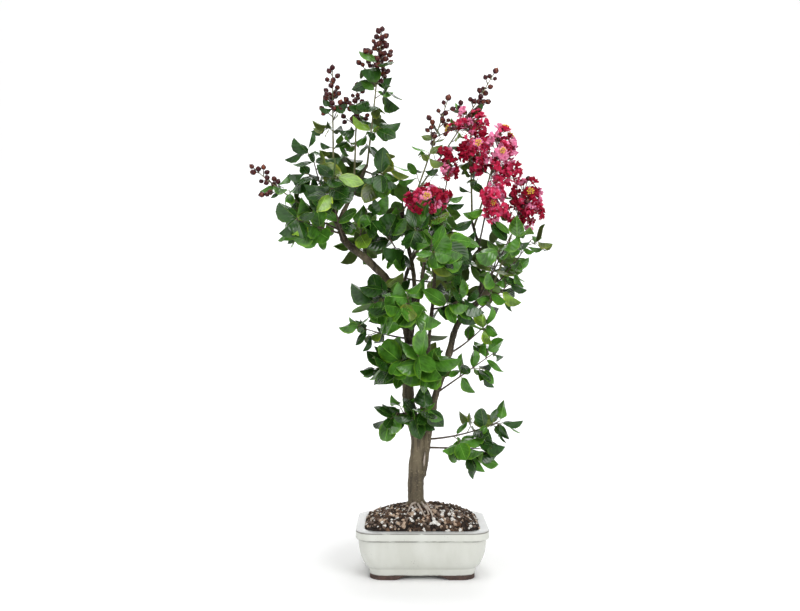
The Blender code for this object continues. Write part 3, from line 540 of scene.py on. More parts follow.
def glaze_finish(pot):
    """Glossy glaze, thick in patches and low down, pinholed, and worn off in broken lines along the edges;
    the lip's flat top is darker as painted shade, and the line under the lip is partly painted shadow.
    """
    gloss = {"Specular IOR Level": 0.4, "Coat Weight": 0.1}
    material, tree, shader = finish("ivory_glaze", pot.glaze, roughness=0.18, sockets=gloss)
    runs = patches(tree, scale=40, detail=5, limits=(0.38, 0.66), most=0.34, stretch=(1, 1, 0.35))
    skin = mixed(tree, runs, pot.glaze, pot.pooled_glaze)
    low_down = product(tree, from_0_to_1(tree, heights(tree), pot.height / 2, 0), 0.12)
    skin = mixed(tree, low_down, skin, pot.pooled_glaze)
    # Painted shade: the lip's flat top is darkened, as it takes more light than the body
    painted_shade_on_lip = from_0_to_1(tree, heights(tree), pot.height - pot.edge, pot.height)
    skin = mixed(tree, painted_shade_on_lip, skin, pot.lip_glaze_painted_shade)
    holes = patches(tree, scale=560, detail=2, limits=(0.69, 0.75))
    where_holed = patches(tree, scale=60, detail=2, limits=(0.50, 0.62), most=0.8)
    skin = mixed(tree, product(tree, holes, where_holed), skin, pot.worn_glaze_and_shadow)
    # Broken dark lines along the edges: worn glaze, and under the lip partly painted shadow
    for number, line in enumerate(dark_lines(pot)):
        near_line = from_0_to_1(tree, distance_from(tree, heights(tree), line.middle), line.half_width, 0)
        breaks = patches(tree, scale=38 + 9 * number, detail=4, limits=line.limits, most=0.9)
        skin = mixed(tree, product(tree, near_line, breaks), skin, pot.worn_glaze_and_shadow)
    colour_from(tree, shader, skin)
    bump_from(tree, shader, noise(tree, scale=70, detail=3), distance=0.0004, strength=0.5)
    return material


# A dark line round the pot, of worn glaze, and under the lip partly painted shadow: its height, half its
# width, and the limits of the noise that breaks it up
DarkLine = namedtuple("DarkLine", "middle half_width limits")


def dark_lines(pot):
    """The lines along the lip's top edge, its lower edge and the edge above the feet."""
    return (
        DarkLine(pot.height - pot.edge * 1.05, pot.edge * 1.15, (0.28, 0.42)),
        # Under the lip's lower edge: partly worn glaze, partly painted shadow under the overhang
        DarkLine(pot.height - pot.lip_height - pot.edge * 0.3, 0.0020, (0.42, 0.56)),
        DarkLine(pot.foot_height + pot.edge * 0.5, 0.0015, (0.44, 0.60)),
    )


def clay_finish(pot):
    material, tree, shader = finish("bare_clay", pot.clay, roughness=0.82)
    pale = patches(tree, scale=160, detail=5, limits=(0.35, 0.70))
    colour_from(tree, shader, mixed(tree, pale, pot.clay, shade(pot.clay, 1.9)))
    bump_from(tree, shader, noise(tree, scale=900, detail=4), distance=0.0003, strength=0.7)
    return material


def mineral_finish(name, tone, roughness, scale, contrast):
    """Earth, chips or grit: a colour broken up by noise, and a rough face."""
    material, tree, shader = finish(name, tone, roughness)
    light = patches(tree, scale, detail=5, limits=(0.32, 0.68))
    colour_from(tree, shader, mixed(tree, light, shade(tone, 1 - contrast), shade(tone, 1 + contrast)))
    bump_from(tree, shader, noise(tree, scale * 4, detail=4), distance=0.0004, strength=0.8)
    return material


# The heights between which the trunk's smooth bark gives way to rougher bark
BARK_CHANGES = (0.26, 0.42)


def bark_finish(bark):
    """Smooth olive bark below, rough brown bark above, streaked along the limbs."""
    gloss = {"Specular IOR Level": 0.35}
    material, tree, shader = finish("bark", bark.low_bark, roughness=0.66, sockets=gloss)
    skin = mixed(tree, from_0_to_1(tree, heights(tree), *BARK_CHANGES), bark.low_bark, bark.high_bark)
    plates = patches(tree, scale=30, detail=4, limits=(0.42, 0.62), most=0.5, stretch=(1, 1, 0.4))
    skin = mixed(tree, plates, skin, shade(bark.low_bark, 2.2))
    streaks = patches(tree, scale=150, detail=6, limits=(0.48, 0.64), most=0.85, stretch=(1, 1, 0.10))
    skin = mixed(tree, streaks, skin, bark.streak)
    flecks = patches(tree, scale=420, detail=4, limits=(0.58, 0.70), most=0.55)
    skin = mixed(tree, flecks, skin, shade(bark.low_bark, 3.4))
    colour_from(tree, shader, skin)
    furrows = noise(tree, scale=240, detail=6, stretch=(1, 1, 0.22))
    bump_from(tree, shader, furrows, distance=0.0014, strength=0.9)
    return material


def twig_finish(name, wood):
    material, tree, shader = finish(name, wood, roughness=0.55)
    light = patches(tree, scale=240, detail=4, limits=(0.35, 0.65))
    colour_from(tree, shader, mixed(tree, light, shade(wood, 0.7), shade(wood, 1.3)))
    bump_from(tree, shader, noise(tree, scale=700, detail=3), distance=0.0002, strength=0.6)
    return material


VEIN_SLANT, VEIN_WAVES = 0.8, 2.4  # how far side veins lean to the tip, and how close together they are
YELLOWER = (2.9, 2.1, 1.2)  # how much brighter the red, green and blue of a leaf are at its margin


def leaf_face_finish(name, green):
    """A glossy leaf: blotched, yellower at its margin, with side veins that run out from the rib."""
    material, tree, shader = finish(name, green, roughness=0.26, sockets={"Specular IOR Level": 0.5})
    blotches = patches(tree, scale=55, detail=3, limits=(0.36, 0.66))
    face = mixed(tree, blotches, shade(green, 0.62), shade(green, 1.42))
    uv = node(tree, "SeparateXYZ", {"Vector": node(tree, "UVMap").outputs["UV"]}).outputs
    from_rib = distance_from(tree, uv["Y"], 0.5)
    along = worked_out(tree, "SUBTRACT", uv["X"], product(tree, from_rib, VEIN_SLANT))
    comb = node(tree, "CombineXYZ", {"X": along}).outputs["Vector"]
    waves = node(tree, "TexWave", {"Vector": comb, "Scale": VEIN_WAVES}).outputs["Fac"]
    face = mixed(tree, ramp(tree, waves, (0.86, 1.0), 0.22), face, shade(green, 2.2))
    some_leaves = patches(tree, scale=30, detail=2, limits=(0.38, 0.56), most=0.8)
    margin = product(tree, ramp(tree, from_rib, (0.40, 0.49)), some_leaves)
    yellow = [min(1, c * more) for c, more in zip(green, YELLOWER)]
    colour_from(tree, shader, mixed(tree, margin, face, yellow))
    bump_from(tree, shader, waves, distance=0.0004, strength=0.5)
    return material


def leaf_rib_finish(name, green):
    material, tree, shader = finish(name, green, roughness=0.45, sockets={"Specular IOR Level": 0.3})
    skin = mixed(tree, noise(tree, scale=300, detail=2), shade(green, 0.9), shade(green, 1.1))
    colour_from(tree, shader, skin)
    return material


def leaf_back_finish(name, green):
    """The dull, paler underside of a leaf."""
    material, tree, shader = finish(name, green, roughness=0.60, sockets={"Specular IOR Level": 0.25})
    light = patches(tree, scale=110, detail=4, limits=(0.35, 0.65))
    colour_from(tree, shader, mixed(tree, light, shade(green, 0.85), shade(green, 1.15)))
    bump_from(tree, shader, noise(tree, scale=500, detail=3), distance=0.0003, strength=0.5)
    return material


def petal_finish(name, tint, edge):
    """Silky crinkled petal, flushed with the colour of its edge."""
    material, tree, shader = finish(name, tint, roughness=0.55, sockets={"Specular IOR Level": 0.12})
    flush = patches(tree, scale=150, detail=4, limits=(0.44, 0.72), most=0.5)
    colour_from(tree, shader, mixed(tree, flush, tint, edge))
    bump_from(tree, shader, noise(tree, scale=420, detail=3), distance=0.0008, strength=0.7)
    return material


def bud_finish(flower):
    gloss = {"Specular IOR Level": 0.36}
    material, tree, shader = finish("bud_skin", flower.bud, roughness=0.15, sockets=gloss)
    ripe = patches(tree, scale=130, detail=3, limits=(0.50, 0.72))
    colour_from(tree, shader, mixed(tree, ripe, flower.bud, flower.ripe_bud))
    bump_from(tree, shader, noise(tree, scale=900, detail=2), distance=0.0002, strength=0.4)
    return material


def stamen_finish(flower):
    material, tree, shader = finish("stamen", flower.stamen, roughness=0.6)
    light = noise(tree, scale=600, detail=2)
    colour_from(tree, shader, mixed(tree, light, shade(flower.stamen, 0.8), flower.stamen))
    return material


def floor_finish(stage):
    material, tree, shader = finish("studio_floor", stage.floor, roughness=0.9)
    light = noise(tree, scale=2, detail=2)
    colour_from(tree, shader, mixed(tree, light, shade(stage.floor, 0.985), stage.floor))
    return material


# Routes


def smooth_route(points, steps=6):
    """A Catmull-Rom curve through the points."""
    points = [Vector(p) for p in points]
    ends = [2 * points[0] - points[1], *points, 2 * points[-1] - points[-2]]
    curve = []
    for a, b, c, d in zip(ends, ends[1:], ends[2:], ends[3:]):
        for i in range(steps):
            t = i / steps
            pull = 2 * a - 5 * b + 4 * c - d
            swing = 3 * (b - c) + d - a
            curve.append(b + 0.5 * t * (c - a + t * (pull + t * swing)))
    return [*curve, points[-1]]


def bowed_route(start, tip, sag, steps):
    """A curve from start to tip that hangs in its middle by half of the sag times the straight length."""
    return bent_route(start, start.lerp(tip, 0.5) - UP * sag * (tip - start).length, tip, steps)


def bent_route(start, bend, tip, steps):
    """A curve from start to tip, drawn towards the bend on the way."""
    route = []
    for i in range(steps + 1):
        t = i / steps
        route.append(start.lerp(bend, t).lerp(bend.lerp(tip, t), t))
    return route


def route_length(route):
    return sum((b - a).length for a, b in zip(route, route[1:]))


def station(route, along):
    """The point at this share of the route's length, and the route's direction there."""
    lengths = [(b - a).length for a, b in zip(route, route[1:])]
    left = along * sum(lengths)
    for a, b, step in zip(route, route[1:], lengths):
        if left <= step or b is route[-1]:
            break
        left -= step
    return a.lerp(b, min(left / step, 1)), (b - a).normalized()


def nearest_on(route, point):
    """The route's point nearest to this one."""
    best = None
    for a, b in zip(route, route[1:]):
        along = b - a
        near = a + along * max(0, min(1, (point - a).dot(along) / along.length_squared))
        if best is None or (near - point).length_squared < (best - point).length_squared:
            best = near
    return best


def tapered(foot, tip, steps):
    """Radii from the foot's to the tip's."""
    return [foot + (tip - foot) * i / (steps - 1) for i in range(steps)]


def square_to(direction, turn):
    """A unit vector square to the direction, turned about it."""
    side = direction.cross(UP if abs(direction.z) < 0.9 else Vector((1, 0, 0))).normalized()
    return Matrix.Rotation(turn, 3, direction) @ side


def facing(along, normal):
    """The turn that lays X along one vector with Z as near the other as it goes."""
    x = along.normalized()
    y = normal.cross(x).normalized()
    return Matrix((x, y, x.cross(y))).transposed().to_4x4()


# Meshes of many like shapes


def tubes(name, lines, sides, finishes):
    """One mesh of tubes with this many sides, each given by its route, its radii and its finish's number."""
    curve = bpy.data.curves.new(name, "CURVE")
    curve.dimensions = "3D"
    curve.bevel_depth = 1
    curve.bevel_resolution = sides // 2 - 2
    curve.use_fill_caps = True
    for each in finishes:
        curve.materials.append(each)
    for route, radii, number in lines:
        spline = curve.splines.new("POLY")
        spline.points.add(len(route) - 1)
        for point, where, radius in zip(spline.points, route, radii):
            point.co = (*where, 1)
            point.radius = radius
        spline.material_index = number
    obj = bpy.data.objects.new(name, curve)
    bpy.context.collection.objects.link(obj)
    only(obj)
    bpy.ops.object.convert(target="MESH")
    outward(bpy.context.object)
    return bpy.context.object


def copies(name, templates, places, finishes, angle=None):
    """One mesh of many copies; each place is (number of the template, matrix, number of its first finish)."""
    points, faces, numbers, uvs = [], [], [], []
    for which, matrix, first in places:
        mesh = templates[which].data
        start = len(points)
        points += [matrix @ v.co for v in mesh.vertices]
        faces += [[start + i for i in face.vertices] for face in mesh.polygons]
        numbers += [first + face.material_index for face in mesh.polygons]
        uvs += [n for uv in mesh.uv_layers[0].uv for n in uv.vector]
    mesh = bpy.data.meshes.new(name)
    mesh.from_pydata(points, [], faces)
    mesh.polygons.foreach_set("material_index", numbers)
    mesh.uv_layers.new(name="UVMap").uv.foreach_set("vector", uvs)
    for each in finishes:
        mesh.materials.append(each)
    obj = bpy.data.objects.new(name, mesh)
    bpy.context.collection.objects.link(obj)
    smooth(obj, angle)
    return obj


def numbered(obj, number, number_of):
    """Gives the object this number of empty material slots, and each face the number of its own."""
    for _ in range(number):
        obj.data.materials.append(None)
    for face in obj.data.polygons:
        face.material_index = number_of(face)
    return obj


def remove(objects):
    for obj in objects:
        bpy.data.objects.remove(obj)


# The pot


def oblong_block(name, width, depth, corner, low, high):
    """A block under the lip's outline: an oblong with rounded corners, open in edit mode."""
    centre = (POT_CENTRE.x, POT_CENTRE.y, (low + high) / 2)
    bpy.ops.mesh.primitive_cube_add(size=1, location=centre, scale=(width, depth, high - low))
    bpy.ops.object.transform_apply(location=True, rotation=True, scale=True)
    block = started(name)
    pick(block, "EDGE", lambda e: abs(e.verts[0].co.z - e.verts[1].co.z) > (high - low) / 2)
    bpy.ops.mesh.bevel(offset=corner, offset_type="OFFSET", segments=4, affect="EDGES")
    return block


def pull_on(block, z, rise, narrower, shape):
    """Extrudes the middle face at height z by the rise, and narrows it by this much all round."""

    def in_the_middle(face):
        centre = face.calc_center_median()
        return abs(centre.z - z) < 1e-5 and (centre.xy - POT_CENTRE.xy).length < 1e-4

    pick(block, "FACE", in_the_middle)
    bpy.ops.mesh.extrude_region_move(TRANSFORM_OT_translate={"value": (0, 0, rise)})
    width, depth = shape
    factors = (1 - 2 * narrower / width, 1 - 2 * narrower / depth, 1)
    bpy.ops.transform.resize(value=factors, center_override=(POT_CENTRE.x, POT_CENTRE.y, z + rise))
    return z + rise, (width - 2 * narrower, depth - 2 * narrower)


BELLY_STEPS = 12
BELLY_TURN_FROM = math.radians(18)  # how far the quarter turn has come where the belly meets the plinth


def belly(pot):
    """Heights and insets of the body's rings from under the lip down: a bulging quarter turn and a plinth."""
    top, low = pot.height - pot.lip_height, pot.foot_height + pot.plinth
    rings = []
    for i in range(BELLY_STEPS, -1, -1):
        turn = BELLY_TURN_FROM + (math.pi / 2 - BELLY_TURN_FROM) * i / BELLY_STEPS
        out = (math.sin(turn) - math.sin(BELLY_TURN_FROM)) / (1 - math.sin(BELLY_TURN_FROM))
        rise = 1 - math.cos(turn) / math.cos(BELLY_TURN_FROM)
        rings.append((low + (top - low) * rise, pot.belly_inset + (pot.overhang - pot.belly_inset) * out))
    return [*rings, (pot.foot_height, pot.base_inset)]


def pot_body(pot):
    """A block for the lip, with the belly pulled down from it ring by ring and the inside pushed down."""
    lip_low = pot.height - pot.lip_height
    body = oblong_block("pot_body", pot.width, pot.depth, pot.corner, lip_low, pot.height)
    shape = (pot.width, pot.depth)
    z, shape = pull_on(body, lip_low, 0, pot.overhang, shape)
    inset = pot.overhang
    for height, next_inset in belly(pot)[1:]:
        z, shape = pull_on(body, z, height - z, next_inset - inset, shape)
        inset = next_inset
    z, shape = pull_on(body, pot.height, 0, pot.lip_width, (pot.width, pot.depth))
    floor = pot.foot_height + pot.wall
    pull_on(body, z, floor - z, pot.base_inset + pot.wall / 2 - pot.lip_width, shape)
    leave_edit_mode()
    outward(body)
    apply(body, "BEVEL", width=pot.edge, segments=3, limit_method="ANGLE", angle_limit=math.radians(28))
    smooth(body, math.radians(32))
    return body


# The openings between the feet, in front and at the ends: their widths under the base and at the ground
FRONT_OPENING, END_OPENING = (0.053, 0.082), (0.040, 0.062)
OPENING_ROUND, FOOT_EDGE = 0.003, 0.0008  # radius of an opening's upper corners, and of the feet's edges


def foot_opening(name, opening, reach, rise, turned):
    """What is cut away between two feet: a long block, wider at the ground, whose upper edges are rounded."""
    under_base, at_ground = opening
    size = (reach, under_base, 2 * rise) if turned else (under_base, reach, 2 * rise)
    bpy.ops.mesh.primitive_cube_add(size=1, location=(POT_CENTRE.x, POT_CENTRE.y, 0), scale=size)
    bpy.ops.object.transform_apply(location=True, rotation=True, scale=True)
    block = started(name)
    wider = 2 * at_ground / under_base - 1
    pick(block, "VERT", lambda v: v.co.z < 0)
    factors = (1, wider, 1) if turned else (wider, 1, 1)
    bpy.ops.transform.resize(value=factors, center_override=(POT_CENTRE.x, POT_CENTRE.y, -rise))
    axis = 0 if turned else 1

    def upper_and_long(edge):
        first, second = (v.co for v in edge.verts)
        return abs(first[axis] - second[axis]) > reach / 2 and first.z > 0

    pick(block, "EDGE", upper_and_long)
    bpy.ops.mesh.bevel(offset=OPENING_ROUND, segments=4, affect="EDGES")
    leave_edit_mode()
    return block


def pot_feet(pot):
    """A ring under the base, cut by two rounded openings into four feet."""
    width, depth = pot.width - 2 * pot.base_inset, pot.depth - 2 * pot.base_inset
    corner = pot.corner * width / pot.width
    feet = oblong_block("pot_feet", width, depth, corner, 0, pot.foot_height)
    leave_edit_mode()
    openings = (
        foot_opening("front_opening", FRONT_OPENING, pot.depth, pot.foot_height, False),
        foot_opening("end_opening", END_OPENING, pot.width, pot.foot_height, True),
    )
    for opening in openings:
        apply(feet, "BOOLEAN", operation="DIFFERENCE", solver="EXACT", object=opening)
    remove(openings)
    outward(feet)
    apply(feet, "BEVEL", width=FOOT_EDGE, segments=2, limit_method="ANGLE", angle_limit=math.radians(40))
    smooth(feet, math.radians(35))
    return feet


class BONSAI_OT_pot(bpy.types.Operator):
    """Builds the glazed pot and its four clay feet"""

    bl_idname = "bonsai.pot"
    bl_label = "Pot"

    def execute(self, context):
        pot = context.scene.bonsai_pot
        body = pot_body(pot)
        body.data.materials.append(glaze_finish(pot))
        finished(body, "pot_body", "glaze", "pot")
        feet = pot_feet(pot)
        feet.data.materials.append(clay_finish(pot))
        finished(feet, "pot_feet", "glaze", "pot")
        return {"FINISHED"}


# The soil

# Each ring of the heap: its share of the rise, and of the width
SOIL_RINGS = ((0.09, 0.97), (0.26, 0.90), (0.45, 0.78), (0.65, 0.62), (0.84, 0.44), (1.0, 0.22))
# The slab under the heap: its gap to the lip, its depth, and its corners' radius as a share of the pot's
SLAB_GAP, SLAB_DEPTH, SLAB_CORNER = 0.0004, 0.012, 0.62
SOIL_LUMP, SOIL_RELIEF = 0.012, 0.004  # the width and the height of the heap's lumps


def soil_heap(pot, soil):
    """A slab inside the lip, heaped up towards the trunk and roughened."""
    width = pot.width - 2 * pot.lip_width - 2 * SLAB_GAP
    depth = pot.depth - 2 * pot.lip_width - 2 * SLAB_GAP
    corner = pot.corner * SLAB_CORNER
    heap = oblong_block("soil_heap", width, depth, corner, soil.edge - SLAB_DEPTH, soil.edge)
    z, shape = soil.edge, (width, depth)
    for rise, wide in SOIL_RINGS:
        top = soil.edge + (soil.top - soil.edge) * rise
        z, shape = pull_on(heap, z, top - z, 0, shape)
        factors = (wide * width / shape[0], wide * depth / shape[1], 1)
        bpy.ops.transform.resize(value=factors, center_override=(POT_CENTRE.x, POT_CENTRE.y, z))
        shape = (wide * width, wide * depth)
    leave_edit_mode()
    apply(heap, "SUBSURF", levels=3, render_levels=3, subdivision_type="SIMPLE")
    apply(heap, "SUBSURF", levels=1, render_levels=1, subdivision_type="CATMULL_CLARK")
    texture = lumps("soil_lumps", SOIL_LUMP)
    apply(heap, "DISPLACE", texture=texture, strength=SOIL_RELIEF, texture_coords="GLOBAL")
    smooth(heap)
    return heap


def surface_of(obj):
    """The object's faces, to find where a line from above meets them."""
    return BVHTree.FromPolygons([v.co for v in obj.data.vertices], [f.vertices for f in obj.data.polygons])


def ground_at(surface, x, y):
    """The point of the surface above this place, and the surface's normal there."""
    where, normal, _, _ = surface.ray_cast(Vector((x, y, 1)), -UP)
    return where, normal


CORNER_CUT = 0.8  # how much nearer a place has to be in a corner, as a share of the corner's radius


def in_pot(pot, x, y, margin):
    """Whether the place is inside the lip, this far from it."""
    across = abs(x - POT_CENTRE.x)
    back = abs(y - POT_CENTRE.y)
    half_width = pot.width / 2 - pot.lip_width - margin
    half_depth = pot.depth / 2 - pot.lip_width - margin
    both = half_width + half_depth - pot.corner * CORNER_CUT
    return across < half_width and back < half_depth and across + back < both


CHIP_KINDS, PEBBLE_KINDS = 4, 3
CHIP_SHAPE, CHIP_RELIEF, PEBBLE_RELIEF = (1, 0.62, 0.30), 0.38, 0.30
STREWN_SIZES, STREWN_MARGIN = (0.55, 1.6), 0.0015  # sizes against the common one, and their gap to the lip
STREWN_LEAN, STREWN_RISE = 0.7, 0.12  # how far each may lean, and its middle's height as a share of its size
CHIP_TINTS, GRIT_TINTS = (5, 4, 2), (4, 5, 5)  # the shares of plain, dark and pale chips, and of each grit
DARK_CHIP, PALE_CHIP = 0.4, 2.4  # how bright these are against plain ones


def chip_template(number):
    """A flake of bark, about one unit long, with lumps of its own size."""
    bpy.ops.mesh.primitive_cube_add(size=1, scale=CHIP_SHAPE)
    bpy.ops.object.transform_apply(location=True, rotation=True, scale=True)
    chip = started(f"chip_{number}")
    bpy.ops.mesh.select_all(action="SELECT")
    bpy.ops.mesh.subdivide(number_cuts=1)
    leave_edit_mode()
    texture = lumps(f"chip_lumps_{number}", 0.35 + 0.07 * number)
    apply(chip, "DISPLACE", texture=texture, strength=CHIP_RELIEF, texture_coords="LOCAL")
    return chip


def pebble_template(number):
    """A rounded stone, about one unit across, flatter for each higher number."""
    size = (0.5, 0.5 - 0.05 * number, 0.42 - 0.04 * number)
    bpy.ops.mesh.primitive_ico_sphere_add(subdivisions=2, radius=1, scale=size)
    bpy.ops.object.transform_apply(location=True, rotation=True, scale=True)
    pebble = started(f"pebble_{number}")
    leave_edit_mode()
    texture = lumps(f"pebble_lumps_{number}", 0.45 + 0.1 * number)
    apply(pebble, "DISPLACE", texture=texture, strength=PEBBLE_RELIEF, texture_coords="LOCAL")
    return pebble


GRIT_ANGLE = math.radians(38)  # between faces of chips and grit, past which an edge stays sharp

# Larger stones that stand out on the heap: x and y, size, and the number of their colour
NOTED_PEBBLES = (
    (0.052, -0.052, 0.0072, 0),
    (0.058, -0.050, 0.0086, 0),
    (0.064, -0.054, 0.0078, 0),
    (0.057, -0.044, 0.0062, 0),
    (0.067, -0.046, 0.0058, 0),
    (0.002, -0.054, 0.0100, 1),
    (0.010, -0.057, 0.0082, 1),
    (0.016, -0.046, 0.0090, 2),
    (-0.022, -0.050, 0.0066, 0),
    (0.088, -0.046, 0.0060, 0),
    (0.100, -0.030, 0.0052, 1),
)


def strewn(rnd, number, pot, surface, size, kinds, tints):
    """Places for stones or chips strewn over the heap."""
    places = []
    while len(places) < number:
        x = POT_CENTRE.x + rnd.uniform(-0.5, 0.5) * pot.width
        y = POT_CENTRE.y + rnd.uniform(-0.5, 0.5) * pot.depth
        if in_pot(pot, x, y, STREWN_MARGIN):
            tint = rnd.choices(range(len(tints)), tints)[0]
            own_size = size * rnd.uniform(*STREWN_SIZES)
            places.append(laid(rnd, surface, x, y, own_size, rnd.randrange(kinds), tint))
    return places


def laid(rnd, surface, x, y, size, which, tint):
    """One stone or chip, partly sunk into the surface, turned any way and tilted."""
    where, normal = ground_at(surface, x, y)
    lean = Vector((rnd.uniform(-STREWN_LEAN, STREWN_LEAN), rnd.uniform(-STREWN_LEAN, STREWN_LEAN), 0))
    normal = (normal + lean).normalized()
    turned = facing(square_to(normal, rnd.uniform(0, math.tau)), normal)
    moved = Matrix.Translation(where + normal * size * STREWN_RISE)
    return which, moved @ turned @ Matrix.Scale(size, 4), tint


def mineral_finishes(name, tones, roughness, scale, contrast):
    return [mineral_finish(f"{name}_{i}", tone, roughness, scale, contrast) for i, tone in enumerate(tones)]


class BONSAI_OT_soil(bpy.types.Operator):
    """Builds the heaped soil with its bark chips and grit"""

    bl_idname = "bonsai.soil"
    bl_label = "Soil"

    def execute(self, context):
        pot, soil = context.scene.bonsai_pot, context.scene.bonsai_soil
        heap = soil_heap(pot, soil)
        earth = mineral_finish("earth", soil.earth, roughness=0.95, scale=240, contrast=0.5)
        heap.data.materials.append(earth)
        finished(heap, "soil_heap", "soil", "soil")
        surface, rnd = surface_of(heap), random.Random("soil")
        chips = [chip_template(i) for i in range(CHIP_KINDS)]
        places = strewn(rnd, soil.chips, pot, surface, soil.chip_size, CHIP_KINDS, CHIP_TINTS)
        tones = (soil.chip, shade(soil.chip, DARK_CHIP), shade(soil.chip, PALE_CHIP))
        finishes = mineral_finishes("bark_chip", tones, roughness=0.85, scale=420, contrast=0.45)
        finished(copies("bark_chips", chips, places, finishes, GRIT_ANGLE), "bark_chips", "soil", "soil")
        pebbles = [pebble_template(i) for i in range(PEBBLE_KINDS)]
        places = strewn(rnd, soil.pebbles, pot, surface, soil.pebble_size, PEBBLE_KINDS, GRIT_TINTS)
        for x, y, size, tint in NOTED_PEBBLES:
            places.append(laid(rnd, surface, x, y, size, rnd.randrange(PEBBLE_KINDS), tint))
        tones = (soil.white_grit, soil.tan_grit, soil.brown_grit)
        finishes = mineral_finishes("grit", tones, roughness=0.7, scale=380, contrast=0.3)
        finished(copies("grit", pebbles, places, finishes, GRIT_ANGLE), "grit", "soil", "soil")
        remove([*chips, *pebbles])
        return {"FINISHED"}


# The trunk and the boughs

TRUNK_BURIED = 0.012  # how far the trunk reaches down into the soil
# Every so many rings the trunk is thicker by up to the first share, and a bough by up to the second
KNOB_STEP, TRUNK_KNOB, BOUGH_KNOB = 4, 0.08, 0.36
COLLAR_STEPS, COLLAR_SHARE = 4, 0.35  # rings over which a bough's foot is thicker, and by how much
# The knot where the right stem leaves the trunk, with shares of its radius: how far it reaches up and down,
# and how wide it is at its foot, its middle and its top
KNOT, KNOT_RADIUS = Vector((0.0395, -0.0065, 0.1560)), 0.0062
KNOT_RISE, KNOT_SHAPE = 0.7, (0.5, 1, 0.4)
# The roots that flare out of the trunk, by how far out and how high each starts, bends and ends
FLARE_COUNT, FLARE_START, FLARE_BEND, FLARE_END = 6, (0.004, 0.018), (0.011, 0.002), (0.019, -0.009)
FLARE_RADII = (0.0044, 0.0020)
# The thin roots: their radii, and how far from the trunk they start and end
ROOT_RADII, ROOT_START, ROOT_REACH = (0.0020, 0.0009), 0.010, (0.030, 0.056)
ROOT_STEPS, ROOT_WANDER = 6, 0.16  # steps along a root, and how far it may turn at each
ROOT_NARROWER = 0.85  # its reach to the front or back against that to the side
ROOT_LIFT, ROOT_DIVE = 0.0035, 0.0062  # how high over the soil one starts, and how much lower it ends
# The relief of the bark: the size of its lumps, and their height as a share of the setting's
BARK_RELIEF = {"bark_knobs": (0.016, 1), "bark_furrows": (0.0042, 0.45)}

# Bare roots in front of the trunk, by x, y and height above the soil
FRONT_ROOTS = (
    ((0.0385, -0.008, 0.007), (0.0430, -0.020, 0.006), (0.0484, -0.032, 0.0050), (0.0497, -0.044, 0.000)),
    ((0.0440, -0.016, 0.005), (0.0505, -0.030, 0.006), (0.0545, -0.037, 0.005), (0.0552, -0.044, 0.000)),
    ((0.0330, -0.014, 0.006), (0.0360, -0.026, 0.006), (0.0420, -0.036, 0.004), (0.0462, -0.044, 0.000)),
    ((0.0300, -0.012, 0.007), (0.0240, -0.018, 0.008), (0.0190, -0.027, 0.004), (0.0150, -0.034, -0.001)),
)
# A pale scar in the groove between the trunk and the right stem
SCAR_ROUTE = (
    (0.0447, -0.0050, 0.188),
    (0.0440, -0.0062, 0.181),
    (0.0434, -0.0066, 0.174),
    (0.0430, -0.0060, 0.166),
)
SCAR_RADII = (0.0004, 0.0014, 0.0016, 0.0006)


def limb_lines():
    """The tubes of all the limbs, knobbly, each bough thicker where it leaves its limb, and the knot."""
    rnd = random.Random("bark")
    lines = []
    for name, limb in LIMBS.items():
        knob = TRUNK_KNOB if name == "trunk" else BOUGH_KNOB
        route = smooth_route(limb.route)
        radii = tapered(limb.foot, limb.tip, len(route))
        for i in range(len(radii)):
            if i % KNOB_STEP == 0:
                radii[i] *= 1 + rnd.uniform(0, knob)
            if name != "trunk" and i < COLLAR_STEPS:
                radii[i] *= 1 + COLLAR_SHARE * (1 - i / COLLAR_STEPS)
        if name == "trunk":
            route.insert(0, route[0] - UP * TRUNK_BURIED)
            radii.insert(0, radii[0])
        lines.append((route, radii, 0))
    rise = UP * KNOT_RADIUS * KNOT_RISE
    radii = [KNOT_RADIUS * share for share in KNOT_SHAPE]
    lines.append(([KNOT - rise, KNOT, KNOT + rise], radii, 0))
    return lines


def flare_lines():
    """The thick roots that flare out of the trunk's foot, one for each of the solid's."""
    lines = []
    for i in range(FLARE_COUNT):
        rnd = random.Random(f"root {i}")
        turn = math.tau * (i + rnd.uniform(-0.25, 0.25)) / FLARE_COUNT
        out = Vector((math.cos(turn), math.sin(turn), 0))
        foot = Vector((LIMBS["trunk"].route[0][0], 0, SOIL_TOP))
        reach = FLARE_END[0] * rnd.uniform(0.8, 1.1)
        start = foot + out * FLARE_START[0] + UP * FLARE_START[1]
        bend = foot + out * FLARE_BEND[0] + UP * FLARE_BEND[1]
        end = foot + out * reach + UP * FLARE_END[1]
        route = bent_route(start, bend, end, 5)
        lines.append((route, tapered(*FLARE_RADII, len(route)), 0))
    return lines


def root_lines(number, surface):
    """Thin bare roots that wander out over the soil and dive into it, and those in front of the trunk."""
    rnd = random.Random("surface roots")
    lines = []
    for i in range(number):
        turn = math.tau * (i + rnd.uniform(-0.3, 0.3)) / number
        reach = rnd.uniform(*ROOT_REACH)
        points = []
        for step in range(ROOT_STEPS + 1):
            turn += rnd.uniform(-ROOT_WANDER, ROOT_WANDER)
            far = ROOT_START + (reach - ROOT_START) * step / ROOT_STEPS
            x = LIMBS["trunk"].route[0][0] + far * math.cos(turn)
            y = far * math.sin(turn) * ROOT_NARROWER
            lift = ROOT_LIFT - ROOT_DIVE * step / ROOT_STEPS + rnd.uniform(-0.0004, 0.0008)
            points.append((x, y, lift))
        lines.append(root_line(points, surface))
    return lines + [root_line(points, surface) for points in FRONT_ROOTS]


def root_line(points, surface):
    """A thin root through places given by x, y and height above the soil."""
    route = smooth_route([ground_at(surface, x, y)[0] + UP * lift for x, y, lift in points], 4)
    return route, tapered(*ROOT_RADII, len(route)), 0


